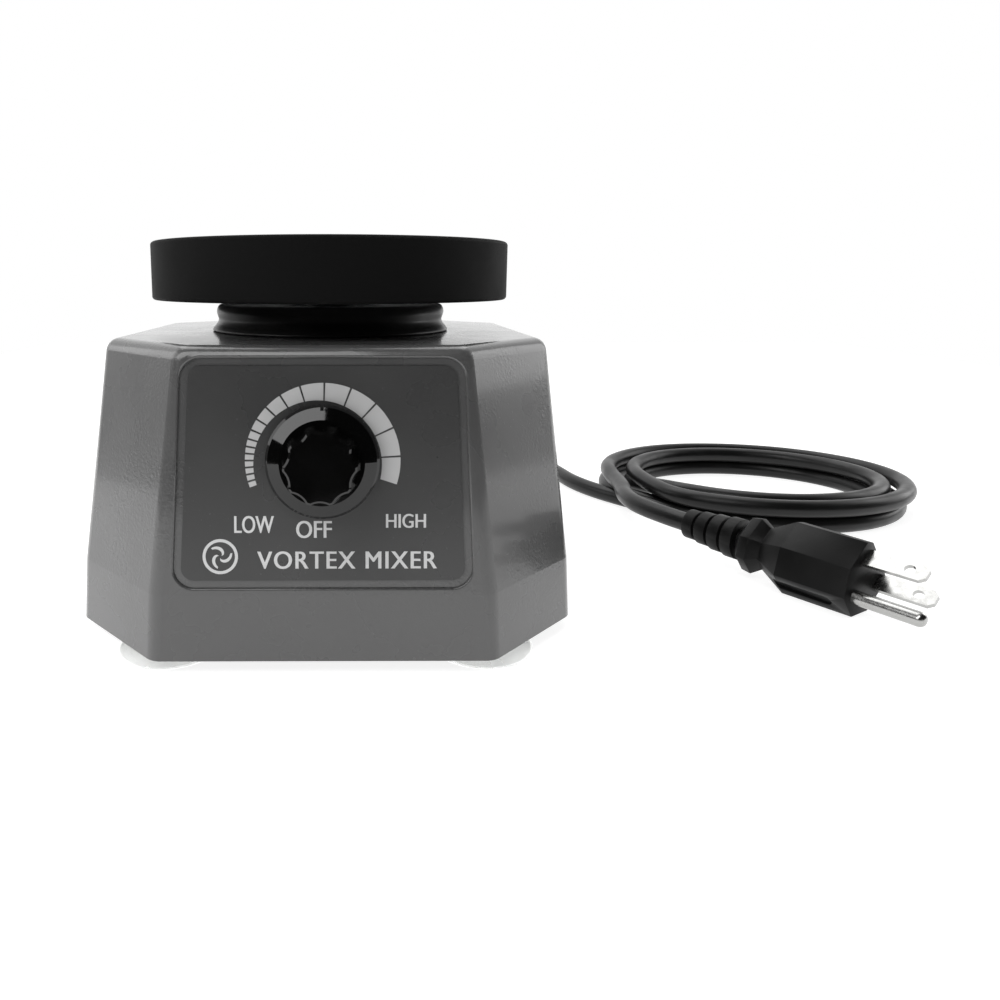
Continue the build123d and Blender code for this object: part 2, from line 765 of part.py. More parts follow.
with BuildPart() as pin_washer:
    with BuildSketch(pin_plane.offset(pin_top_z)):
        Circle(pin_washer_radius)
        Circle(screw_radius + fit, mode=Mode.SUBTRACT)
    extrude(amount=pin_washer_thickness)
save(pin_washer, "pin_washer")

with BuildPart() as pin_screw:
    with BuildSketch(pin_plane.offset(pin_top_z + pin_washer_thickness)):
        Circle(pin_head_radius)
    extrude(amount=pin_head_height)
    with BuildSketch(pin_plane.offset(pin_top_z + pin_washer_thickness)):
        Circle(screw_radius - fit)
    extrude(amount=-pin_screw_length)
    with BuildSketch(pin_plane.offset(pin_top_z + pin_washer_thickness + pin_head_height)):
        RegularPolygon(1.4, 6)
    extrude(amount=-pin_head_height * 0.7, mode=Mode.SUBTRACT)
save(pin_screw, "pin_screw")

# ---------------------------------------------------------------- platform
disc_web = 6.0
disc_boss_radius = 17.0
disc_rim_width = 7.0
clip_thickness = 1.2
clip_groove = 0.9
clip_gap = 2.4
pocket_depth = 1.0
inner_ring_radius = 6.2
outer_ring_radius = 9.0
lip_reach = 9.0
edge_radius = 1.2

with BuildPart() as disc:
    with BuildSketch(pin_plane.offset(disc_z)):
        Circle(disc_radius)
    extrude(amount=disc_top_z - disc_z)
    with BuildSketch(pin_plane.offset(disc_z)):
        Circle(disc_radius - disc_rim_width)
        Circle(disc_boss_radius, mode=Mode.SUBTRACT)
    extrude(amount=disc_top_z - disc_z - disc_web, mode=Mode.SUBTRACT)
    with BuildSketch(pin_plane.offset(disc_z - hub_drop)):
        Circle(hub_radius)
    extrude(amount=hub_drop)
    with BuildSketch(pin_plane.offset(disc_z - hub_drop)):
        Circle(hub_bore)
    extrude(amount=hub_drop + disc_top_z, mode=Mode.SUBTRACT)
    with BuildSketch(pin_plane.offset(seat_z)):
        Circle(seat_radius + fit)
    extrude(amount=disc_top_z, mode=Mode.SUBTRACT)
    with BuildSketch(pin_plane.offset(seat_z + seat_height)):
        Circle(seat_radius + clip_groove)
    extrude(amount=clip_thickness + fit, mode=Mode.SUBTRACT)
save(disc, "platform_disc")

with BuildPart() as platform_bearing:
    with BuildSketch(pin_plane.offset(seat_z)):
        Circle(seat_radius)
        Circle(shaft_radius + running_clearance, mode=Mode.SUBTRACT)
    extrude(amount=seat_height)
    for level, depth in ((seat_z, 0.6), (seat_z + seat_height, -0.6)):
        with BuildSketch(pin_plane.offset(level)):
            Circle(outer_ring_radius)
            Circle(inner_ring_radius, mode=Mode.SUBTRACT)
        extrude(amount=depth, mode=Mode.SUBTRACT)
save(platform_bearing, "platform_bearing")

with BuildPart() as bearing_clip:
    with BuildSketch(pin_plane.offset(seat_z + seat_height)):
        Circle(seat_radius + clip_groove - fit)
        Circle(seat_radius - 1.6, mode=Mode.SUBTRACT)
        with Locations((0, seat_radius)):
            Rectangle(clip_gap, 6.0, mode=Mode.SUBTRACT)
    extrude(amount=clip_thickness)
save(bearing_clip, "bearing_clip")

with BuildPart() as cover:
    with BuildSketch(pin_plane.offset(platform_z)):
        Circle(platform_radius)
    extrude(amount=platform_height)
    fillet(cover.edges(), edge_radius)
    with BuildSketch(pin_plane.offset(disc_z)):
        Circle(disc_radius)
    extrude(amount=disc_top_z - disc_z, mode=Mode.SUBTRACT)
    with BuildSketch(pin_plane.offset(platform_z)):
        Circle(disc_radius - lip_reach)
    extrude(amount=cover_lip, mode=Mode.SUBTRACT)
    with BuildSketch(pin_plane.offset(disc_top_z)):
        Circle(seat_radius)
    extrude(amount=pocket_depth, mode=Mode.SUBTRACT)
save(cover, "platform_cover")

# ---------------------------------------------------------------- rubber boot
boot_foot_radius = boot_radius + 0.8
boot_waist_z = top_z + 4.0
boot_shoulder_z = top_z + 6.6
boot_top_z = platform_z - 1.6
boot_waist_radius = boot_radius - 1.6
boot_shoulder_radius = boot_radius - 0.6
collar_height = 2.4
collar_radius = hub_radius + boot_clearance + boot_wall

with BuildPart() as boot:
    outside = [
        (spigot_radius + fit, top_z),
        (boot_foot_radius, top_z),
        (boot_foot_radius, top_z + 0.7),
        (boot_waist_radius + 0.7, top_z + 2.4),
        (boot_waist_radius, boot_waist_z),
        (boot_shoulder_radius, boot_shoulder_z),
        (boot_shoulder_radius, boot_shoulder_z + 1.2),
        (boot_shoulder_radius - 2.0, boot_top_z),
        (collar_radius - boot_wall, boot_top_z),
        (collar_radius - boot_wall, boot_top_z - boot_wall),
        (boot_shoulder_radius - 3.0, boot_top_z - boot_wall),
        (boot_waist_radius - boot_wall, boot_waist_z),
        (spigot_radius + fit, boot_waist_z - 0.6),
    ]
    add(turned(outside))
    revolve(axis=Axis.Z)
    with BuildSketch(pin_plane.offset(boot_top_z - collar_height)):
        Circle(collar_radius)
    extrude(amount=collar_height)
    with BuildSketch(pin_plane.offset(boot_top_z - collar_height - 1)):
        Circle(hub_radius + boot_clearance)
    extrude(amount=collar_height + 2, mode=Mode.SUBTRACT)
save(boot, "boot")

# ---------------------------------------------------------------- speed-control board
board_z = plate_top_z + standoff_height
board_top_z = board_z + board_thickness
board_inset = 4.5
board_screw_radius = 1.5
standoff_radius = 3.0
board_holes = [
    (x, board_centre_y + y)
    for x in (-board_x / 2 + board_inset, board_x / 2 - board_inset)
    for y in (-board_y / 2 + board_inset, board_y / 2 - board_inset)
]
sink_x, sink_y = -20.0, board_centre_y + 2.0
sink_length, sink_thickness, sink_height = 26.0, 2.0, 22.0
sink_fins, fin_depth, fin_thickness = 5, 6.0, 1.5
triac_width, triac_thickness, triac_height = 10.0, 4.5, 15.0
lead_height = 3.0
choke_x, choke_radius, choke_bore, choke_height = 26.0, 9.0, 4.0, 9.0
cap_x, cap_width, cap_depth, cap_height = 5.0, 14.0, 8.0, 12.0

with BuildPart() as standoffs:
    with BuildSketch(Plane.XY.offset(plate_top_z)):
        with Locations(*board_holes):
            RegularPolygon(standoff_radius, 6)
            Circle(board_screw_radius, mode=Mode.SUBTRACT)
    extrude(amount=standoff_height)
save(standoffs, "board_standoffs")

with BuildPart() as board:
    with BuildSketch(Plane.XY.offset(board_z)):
        with Locations((0, board_centre_y)):
            Rectangle(board_x, board_y)
        with Locations(*board_holes):
            Circle(board_screw_radius + fit, mode=Mode.SUBTRACT)
    extrude(amount=board_thickness)
save(board, "control_board")

with BuildPart() as board_screws:
    with BuildSketch(Plane.XY.offset(board_top_z)):
        with Locations(*board_holes):
            Circle(2 * board_screw_radius)
    extrude(amount=1.6)
    with BuildSketch(Plane.XY.offset(board_top_z)):
        with Locations(*board_holes):
            Circle(board_screw_radius - fit)
    extrude(amount=-board_thickness - standoff_height * 0.8)
save(board_screws, "board_screws")

with BuildPart() as heat_sink:
    with BuildSketch(Plane.XY.offset(board_top_z)):
        with Locations((sink_x, sink_y)):
            Rectangle(sink_length, sink_thickness)
            with Locations((0, fin_depth / 2)):
                with GridLocations((sink_length - fin_thickness) / (sink_fins - 1), 0, sink_fins, 1):
                    Rectangle(fin_thickness, fin_depth)
    extrude(amount=sink_height)
save(heat_sink, "heat_sink")

triac_y = sink_y - sink_thickness / 2 - triac_thickness / 2
with BuildPart() as triac:
    with BuildSketch(Plane.XY.offset(board_top_z + lead_height)):
        with Locations((sink_x, triac_y)):
            Rectangle(triac_width, triac_thickness)
    extrude(amount=triac_height)
    with BuildSketch(Plane.XY.offset(board_top_z)):
        with Locations((sink_x, triac_y)):
            with GridLocations(2.5, 0, 3, 1):
                Rectangle(0.8, 0.6)
    extrude(amount=lead_height)
save(triac, "triac")

with BuildPart() as choke:
    with BuildSketch(Plane.XY.offset(board_top_z)):
        with Locations((choke_x, board_centre_y)):
            Circle(choke_radius)
            Circle(choke_bore, mode=Mode.SUBTRACT)
    extrude(amount=choke_height)
    fillet(choke.edges(), 1.8)
save(choke, "choke")

with BuildPart() as capacitor:
    with BuildSketch(Plane.XY.offset(board_top_z)):
        with Locations((cap_x, board_centre_y)):
            RectangleRounded(cap_width, cap_depth, 1.0)
    extrude(amount=cap_height)
    fillet(capacitor.edges().group_by(Axis.Z)[-1], 0.8)
save(capacitor, "capacitor")

block_x, block_y = 46.0, 20.0
block_width, block_length, block_height = 14.0, 30.0, 13.0
block_poles = 3

with BuildPart() as terminal_block:
    with BuildSketch(Plane.XY.offset(plate_top_z)):
        with Locations((block_x, block_y)):
            Rectangle(block_width, block_length)
    extrude(amount=block_height * 0.6)
    pole_pitch = block_length / block_poles
    with BuildSketch(Plane.XY.offset(plate_top_z + block_height * 0.6)):
        with Locations((block_x, block_y)):
            with GridLocations(0, pole_pitch, 1, block_poles):
                Rectangle(block_width * 0.7, pole_pitch * 0.75)
    extrude(amount=block_height * 0.4)
    with BuildSketch(Plane.XY.offset(plate_top_z + block_height)):
        with Locations((block_x, block_y)):
            with GridLocations(0, pole_pitch, 1, block_poles):
                Circle(2.0)
    extrude(amount=-block_height * 0.5, mode=Mode.SUBTRACT)
save(terminal_block, "terminal_block")

# ---------------------------------------------------------------- fuse holder on the rear wall
fuse_flange_radius = 8.5
fuse_flange = 2.0
fuse_inside = 24.0
fuse_nut_radius = 8.5
fuse_nut_height = 4.0
fuse_cap_radius = 6.5
fuse_bore = 3.6
slot_width, slot_depth = 1.4, 1.2

with BuildPart() as fuse_holder:
    with BuildSketch(fuse_plane):
        Circle(fuse_flange_radius)
    extrude(amount=fuse_flange)
    fillet(fuse_holder.edges().group_by(spindle_axis(fuse_plane))[-1], 0.8)
    with BuildSketch(fuse_plane):
        Circle(fuse_radius)
    extrude(amount=-fuse_inside)
    with BuildSketch(fuse_plane.offset(fuse_flange)):
        Circle(fuse_bore + fit)
    extrude(amount=-fuse_flange - fuse_inside + 3.0, mode=Mode.SUBTRACT)
save(fuse_holder, "fuse_holder")

with BuildPart() as fuse_cap:
    with BuildSketch(fuse_plane.offset(fuse_flange + fit)):
        Circle(fuse_cap_radius)
    extrude(amount=fuse_cap_length - fuse_flange - fit)
    cap_end = fuse_cap.edges().group_by(spindle_axis(fuse_plane))[-1]
    fillet(cap_end, 1.2)
    with BuildSketch(fuse_plane.offset(fuse_flange)):
        with PolarLocations(fuse_cap_radius + 0.3, 16):
            Circle(0.7)
    extrude(amount=fuse_cap_length - fuse_flange - 3.5, mode=Mode.SUBTRACT)
    with BuildSketch(fuse_plane.offset(fuse_flange + fit)):
        Circle(fuse_bore - fit)
    extrude(amount=-fuse_inside + 6.0)
    with BuildSketch(fuse_plane.offset(fuse_cap_length)):
        Rectangle(fuse_cap_radius * 1.3, slot_width)
    extrude(amount=-slot_depth, mode=Mode.SUBTRACT)
save(fuse_cap, "fuse_cap")

with BuildPart() as fuse_nut:
    with BuildSketch(fuse_plane.offset(wall_back)):
        RegularPolygon(fuse_nut_radius, 6)
        Circle(fuse_radius + fit, mode=Mode.SUBTRACT)
    extrude(amount=-fuse_nut_height)
save(fuse_nut, "fuse_nut")

# ---------------------------------------------------------------- cord and its strain relief
relief_flange = 2.2
relief_wall_y = rim_width / 2
relief_inner_y = width_at(relief_z) / 2 - wall - 0.5
relief_tail = 5.0
relief_root = 6.6
relief_mouth = cord_radius + 1.0
groove_count = 5
groove_width = 1.2
groove_depth = 0.9

with BuildPart() as strain_relief:
    relief_profile = [
        (0, relief_inner_y - relief_tail),
        (7.0, relief_inner_y - relief_tail),
        (7.0, relief_inner_y),
        (relief_neck, relief_inner_y),
        (relief_neck, relief_wall_y),
        (8.2, relief_wall_y),
        (8.2, relief_wall_y + relief_flange),
        (relief_root, relief_wall_y + relief_flange),
        (relief_mouth, relief_end_y),
        (0, relief_end_y),
    ]
    add(turned(relief_profile, relief_plane))
    revolve(axis=spindle_axis(relief_plane))
    tapered = relief_length - relief_flange
    for i in range(groove_count):
        groove_y = relief_wall_y + relief_flange + tapered * (i + 1) / (groove_count + 1)
        root = relief_root + (relief_mouth - relief_root) * (i + 1) / (groove_count + 1)
        with BuildSketch(relief_plane.offset(groove_y)):
            Circle(relief_root + 1)
            Circle(root - groove_depth, mode=Mode.SUBTRACT)
        extrude(amount=groove_width, mode=Mode.SUBTRACT)
save(strain_relief, "strain_relief")

layer_z = 3 * cord_radius + 0.2  # cord lying on cord
slant = math.radians(plug_roll)
plug_z = plug_knee * math.sin(slant) + plug_half_thickness * math.cos(slant)
heading = Vector(math.sin(math.radians(plug_turn)), -math.cos(math.radians(plug_turn)), 0)
coil_entry = math.radians(215.0)
coil_start = Vector(
    coil_x + (coil_a + lane) * math.cos(coil_entry),
    coil_y + (coil_b + lane) * math.sin(coil_entry),
    cord_radius,
)
coil_end = Vector(coil_x - coil_a - lane, coil_y, layer_z)

cord_route = [
    Vector(relief_x, relief_end_y, relief_z),
    Vector(relief_x, relief_end_y + 22.0, relief_z),
    Vector(relief_x + 4.5, relief_end_y + 51.5, cord_radius),
    Vector(relief_x + 20.0, relief_end_y + 76.0, cord_radius),
    Vector(relief_x + 43.0, relief_end_y + 88.5, cord_radius),
    Vector(relief_x + 68.5, relief_end_y + 86.5, cord_radius),
    Vector(coil_start.X - 41.1, coil_start.Y + 105.2, cord_radius),
    Vector(coil_start.X - 31.1, coil_start.Y + 74.7, cord_radius),
    Vector(coil_start.X - 26.5, coil_start.Y + 37.4, cord_radius),
    coil_start,
]
end_route = [
    coil_end,
    Vector(coil_end.X - 1.3, coil_end.Y - 20.0, layer_z),
    Vector(coil_end.X - 6.8, coil_end.Y - 39.5, layer_z),
    Vector(coil_end.X - 4.3, coil_end.Y - 59.5, plug_z),
    Vector(coil_end.X + 6.2, coil_end.Y - 77.69, plug_z),
]


def route_plane(route):
    """Plane across a route at its first point."""
    return Plane(origin=route[0], z_dir=route[1] - route[0])


with BuildPart() as cord:
    with BuildLine():
        FilletPolyline(*cord_route, radius=bend_radii(cord_route))
    with BuildSketch(route_plane(cord_route)):
        Circle(cord_radius)
    sweep()
save(cord, "cord")

with BuildPart() as cord_end:
    with BuildLine():
        FilletPolyline(*end_route, radius=bend_radii(end_route))
    with BuildSketch(route_plane(end_route)):
        Circle(cord_radius)
    sweep()
save(cord_end, "cord_end")

with BuildPart() as cord_coil:
    with BuildSketch():
        with Locations((coil_x, coil_y)):
            Ellipse(coil_a + coil_half_build, coil_b + coil_half_build)
            Ellipse(coil_a - coil_half_build, coil_b - coil_half_build, mode=Mode.SUBTRACT)
    extrude(amount=coil_height)
    fillet(cord_coil.edges(), cord_radius)
save(cord_coil, "cord_coil")

# ---------------------------------------------------------------- plug
ground_side = Vector(heading.Y, -heading.X, 0) * math.cos(slant) + Vector(0, 0, -math.sin(slant))
plug_plane = Plane(origin=end_route[-1], x_dir=ground_side, z_dir=heading)
# Along the plug: how far from its back end, and how large the section is there.
plug_sections = [(0.0, 0.50), (2.5, 0.76), (6.0, 0.80), (9.5, 0.60), (19.0, 1.0), (plug_length, 0.97)]
relief_small, relief_big = cord_radius + 1.4, cord_radius + 4.0
relief_segments = 4
segment_gap = 1.6
gap_radius = cord_radius + 0.6  # between the segments
slot_start, slot_length, slot_breadth = 17.0, 20.0, 4.2  # the grip on the ground pin's side
grip_depth = 1.3
blade_hole_radius = 1.6
blade_hole_inset = 5.0
blade_tip_cut = 1.6


def plug_section(distance, scale):
    """The plug's eight-cornered outline at a distance from its back end."""
    corners = [
        (-9.5, -8.5),
        (-7.0, -plug_half_thickness),
        (plug_knee, -plug_half_thickness),
        (plug_tip_u, -plug_tip_v),
        (plug_tip_u, plug_tip_v),
        (plug_knee, plug_half_thickness),
        (-7.0, plug_half_thickness),
        (-9.5, 8.5),
    ]
    with BuildSketch(plug_plane.offset(relief_grip + distance)) as section:
        Polygon(*[(scale * u, scale * v) for u, v in corners], align=None)
    return section.sketch


with BuildPart() as plug_body:
    for distance, scale in plug_sections:
        add(plug_section(distance, scale))
    loft(ruled=True)
    with BuildSketch(plug_plane):
        Circle(gap_radius)
    extrude(amount=relief_grip + 1)
    segment_pitch = relief_grip / relief_segments
    for i in range(relief_segments):
        radius = relief_small + (relief_big - relief_small) * (i + 1) / relief_segments
        with BuildSketch(plug_plane.offset(segment_pitch * i)):
            Circle(radius)
        extrude(amount=segment_pitch - segment_gap)
    slot_plane = Plane(
        origin=Vector(*plug_plane.origin) + heading * (relief_grip + slot_start) + plug_plane.x_dir * plug_tip_u,
        x_dir=heading,
        z_dir=plug_plane.x_dir,
    )
    with BuildSketch(slot_plane.offset(1.0)):
        with Locations((slot_length / 2, 0)):
            SlotOverall(slot_length, slot_breadth)
    extrude(amount=-1.0 - grip_depth, mode=Mode.SUBTRACT)
save(plug_body, "plug_body")

with BuildPart() as plug_blades:
    for v in (-blade_spacing / 2, blade_spacing / 2):
        with BuildSketch(plug_plane.offset(relief_grip + plug_length)):
            with Locations((blades_u, v)):
                Rectangle(blade_width, blade_thickness)
        extrude(amount=blade_length)
    across = Axis(plug_plane.origin, plug_plane.y_dir)
    blade_ends = plug_blades.edges().filter_by(across).group_by(spindle_axis(plug_plane))[-1]
    chamfer(blade_ends, blade_tip_cut)
    hole_reach = relief_grip + plug_length + blade_length - blade_hole_inset
    hole_plane = Plane(
        origin=Vector(*plug_plane.origin) + heading * hole_reach,
        x_dir=plug_plane.x_dir,
        z_dir=plug_plane.y_dir,
    )
    with BuildSketch(hole_plane.offset(-blade_spacing)):
        with Locations((blades_u, 0)):
            Circle(blade_hole_radius)
    extrude(amount=2 * blade_spacing, mode=Mode.SUBTRACT)
save(plug_blades, "plug_blades")

with BuildPart() as ground_pin:
    with BuildSketch(plug_plane.offset(relief_grip + plug_length)):
        with Locations((blades_u + ground_offset, 0)):
            Circle(ground_radius)
    extrude(amount=blade_length + 3.0)
    fillet(ground_pin.edges().group_by(spindle_axis(plug_plane))[-1], ground_radius * 0.8)
save(ground_pin, "plug_ground_pin")
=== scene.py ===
"""Looks of the bench vortex mixer: studio, camera, materials and the fine pieces round the CAD model.

Metres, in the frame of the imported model: +Z is up, the front faces -Y, the table is z = 0.
"""

import json
import math

import bmesh
import bpy
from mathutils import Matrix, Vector

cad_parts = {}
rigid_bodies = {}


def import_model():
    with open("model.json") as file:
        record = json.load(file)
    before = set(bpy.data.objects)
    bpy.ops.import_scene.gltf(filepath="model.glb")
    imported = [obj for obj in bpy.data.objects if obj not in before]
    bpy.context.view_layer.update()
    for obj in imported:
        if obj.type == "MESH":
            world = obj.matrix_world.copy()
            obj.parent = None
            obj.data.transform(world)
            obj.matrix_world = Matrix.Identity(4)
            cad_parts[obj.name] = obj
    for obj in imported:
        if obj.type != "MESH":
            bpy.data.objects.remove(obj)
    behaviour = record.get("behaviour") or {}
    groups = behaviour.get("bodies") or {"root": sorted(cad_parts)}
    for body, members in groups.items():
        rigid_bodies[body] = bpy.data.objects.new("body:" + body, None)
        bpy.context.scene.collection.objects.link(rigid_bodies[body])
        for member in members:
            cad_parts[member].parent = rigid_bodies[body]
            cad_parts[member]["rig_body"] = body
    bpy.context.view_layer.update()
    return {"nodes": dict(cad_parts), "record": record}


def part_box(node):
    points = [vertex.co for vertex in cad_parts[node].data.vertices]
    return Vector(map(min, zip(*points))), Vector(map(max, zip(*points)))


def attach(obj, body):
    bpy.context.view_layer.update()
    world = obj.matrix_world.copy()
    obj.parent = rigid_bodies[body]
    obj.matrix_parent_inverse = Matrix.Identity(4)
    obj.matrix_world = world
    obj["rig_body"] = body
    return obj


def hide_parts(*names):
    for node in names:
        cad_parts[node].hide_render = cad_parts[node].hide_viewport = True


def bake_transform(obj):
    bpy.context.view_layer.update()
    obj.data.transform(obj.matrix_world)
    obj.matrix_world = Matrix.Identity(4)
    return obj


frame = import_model()

MM = 0.001
nodes = frame["nodes"]

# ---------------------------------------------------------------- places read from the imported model
joints = {joint["name"]: joint for joint in frame["record"]["behaviour"]["joints"]}
dial_origin = Vector(joints["knob_turn"]["pos_m"])
dial_normal = Vector(joints["knob_turn"]["axis"]).normalized()
dial_right = Vector((1, 0, 0))
dial_up = dial_normal.cross(dial_right)
crank_pin = Vector(joints["platform_orbit"]["pos_m"])
boot_low, boot_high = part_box("boot")
slots = {entry["node"]: entry["material_slot"] for entry in frame["record"]["subparts"]}

# ---------------------------------------------------------------- camera, floor and lights
CAMERA_PLACE = (0.0093, -0.2741, 0.1101)
CAMERA_DOWN = 8.87  # degrees below level
CAMERA_RIGHT = 0.27  # degrees to the right of straight ahead
LENS = 27.17
SHIFT = (0.14, -0.105)
WORLD_FRONT, WORLD_BACK = 0.02, 1.1  # the world's strength in front of the object and behind it
WORLD_FADE = (-0.1, 0.75)  # the directions' Y over which it changes
FLOOR_NEAR, FLOOR_FAR = 0.85, 1.0  # the floor's own glow
FLOOR_FADE = (0.2, 0.9)  # metres from the object over which it changes
FLOOR_LEFT, FLOOR_RIGHT, FLOOR_FRONT, FLOOR_BACK = -0.5, 0.8, -0.6, 1.0
FLOOR_GREY = 0.4
OBJECT_MIDDLE = (0, 0, 0.06)
SOFT_BOXES = (  # name, place, target, size, power
    ("key_box", (-0.36, -0.45, 0.60), (0, -0.45, 0.10), (0.42, 0.94), 4.5),
    ("left_box", (-0.9, 0.1, 0.5), OBJECT_MIDDLE, (0.6, 0.6), 1.8),
    ("top_box", (0, 0.45, 0.95), OBJECT_MIDDLE, (1.1, 0.7), 5),
    ("right_box", (1.0, 0.25, 0.40), OBJECT_MIDDLE, (0.5, 0.6), 2),
)


def grey(value):
    return (value, value, value)


def add_camera():
    """Camera at the photograph's viewing angle."""
    data = bpy.data.cameras.new("camera")
    data.lens = LENS
    data.sensor_width = 36.0
    data.shift_x, data.shift_y = SHIFT
    data.clip_start = 0.01
    camera = bpy.data.objects.new("camera", data)
    camera.location = CAMERA_PLACE
    camera.rotation_euler = (math.radians(90 - CAMERA_DOWN), 0, math.radians(-CAMERA_RIGHT))
    bpy.context.collection.objects.link(camera)
    bpy.context.scene.camera = camera


def add_area_light(name, place, target, size, power):
    """Soft box that faces a target."""
    data = bpy.data.lights.new(name, "AREA")
    data.shape = "RECTANGLE"
    data.size, data.size_y = size
    data.energy = power
    light = bpy.data.objects.new(name, data)
    light.location = place
    light.rotation_euler = (Vector(target) - Vector(place)).to_track_quat("-Z", "Y").to_euler()
    bpy.context.collection.objects.link(light)


def fading(tree, span, values):
    """Node that goes evenly from one value to another over a span."""
    made = tree.nodes.new("ShaderNodeMapRange")
    for key, number in zip(("From Min", "From Max", "To Min", "To Max"), (*span, *values)):
        made.inputs[key].default_value = number
    return made


def add_world():
    """White backdrop whose light comes mostly from behind the object, with a dim room behind the camera."""
    world = bpy.data.worlds.new("studio")
    world.use_nodes = True
    tree = world.node_tree
    background = tree.nodes["Background"]
    direction = tree.nodes.new("ShaderNodeTexCoord")
    split = tree.nodes.new("ShaderNodeSeparateXYZ")
    shade = fading(tree, WORLD_FADE, (WORLD_FRONT, WORLD_BACK))
    seen = tree.nodes.new("ShaderNodeLightPath")
    pick = tree.nodes.new("ShaderNodeMix")
    tree.links.new(direction.outputs["Generated"], split.inputs["Vector"])
    tree.links.new(split.outputs["Y"], shade.inputs["Value"])
    tree.links.new(seen.outputs["Is Camera Ray"], pick.inputs[0])
    tree.links.new(shade.outputs["Result"], pick.inputs[2])
    pick.inputs[3].default_value = 1.0
    tree.links.new(pick.outputs[0], background.inputs["Strength"])
    background.inputs["Color"].default_value = (1, 1, 1, 1)
    bpy.context.scene.world = world


def add_stage():
    """Pale lit floor that fades into the white backdrop, and soft studio lights."""
    mesh = bpy.data.meshes.new("floor")
    sides = (FLOOR_LEFT, FLOOR_RIGHT, FLOOR_RIGHT, FLOOR_LEFT)
    corners = [(x, y, 0) for x, y in zip(sides, (FLOOR_FRONT, FLOOR_FRONT, FLOOR_BACK, FLOOR_BACK))]
    mesh.from_pydata(corners, [], [(0, 1, 2, 3)])
    floor = bpy.data.objects.new("floor", mesh)
    bpy.context.collection.objects.link(floor)
    material = bpy.data.materials.new("floor_paper")
    material.use_nodes = True
    tree = material.node_tree
    shader = tree.nodes["Principled BSDF"]
    shader.inputs["Base Color"].default_value = (*grey(FLOOR_GREY), 1)
    shader.inputs["Roughness"].default_value = 0.9
    shader.inputs["Specular IOR Level"].default_value = 0.1
    shader.inputs["Emission Color"].default_value = (1, 1, 1, 1)
    place = tree.nodes.new("ShaderNodeTexCoord")
    distance = tree.nodes.new("ShaderNodeVectorMath")
    distance.operation = "LENGTH"
    glow = fading(tree, FLOOR_FADE, (FLOOR_NEAR, FLOOR_FAR))
    tree.links.new(place.outputs["Object"], distance.inputs[0])
    tree.links.new(distance.outputs["Value"], glow.inputs["Value"])
    tree.links.new(glow.outputs["Result"], shader.inputs["Emission Strength"])
    mesh.materials.append(material)
    bpy.context.scene.view_settings.view_transform = "Standard"
    add_world()
    for name, place, target, size, power in SOFT_BOXES:
        add_area_light(name, place, target, size, power)


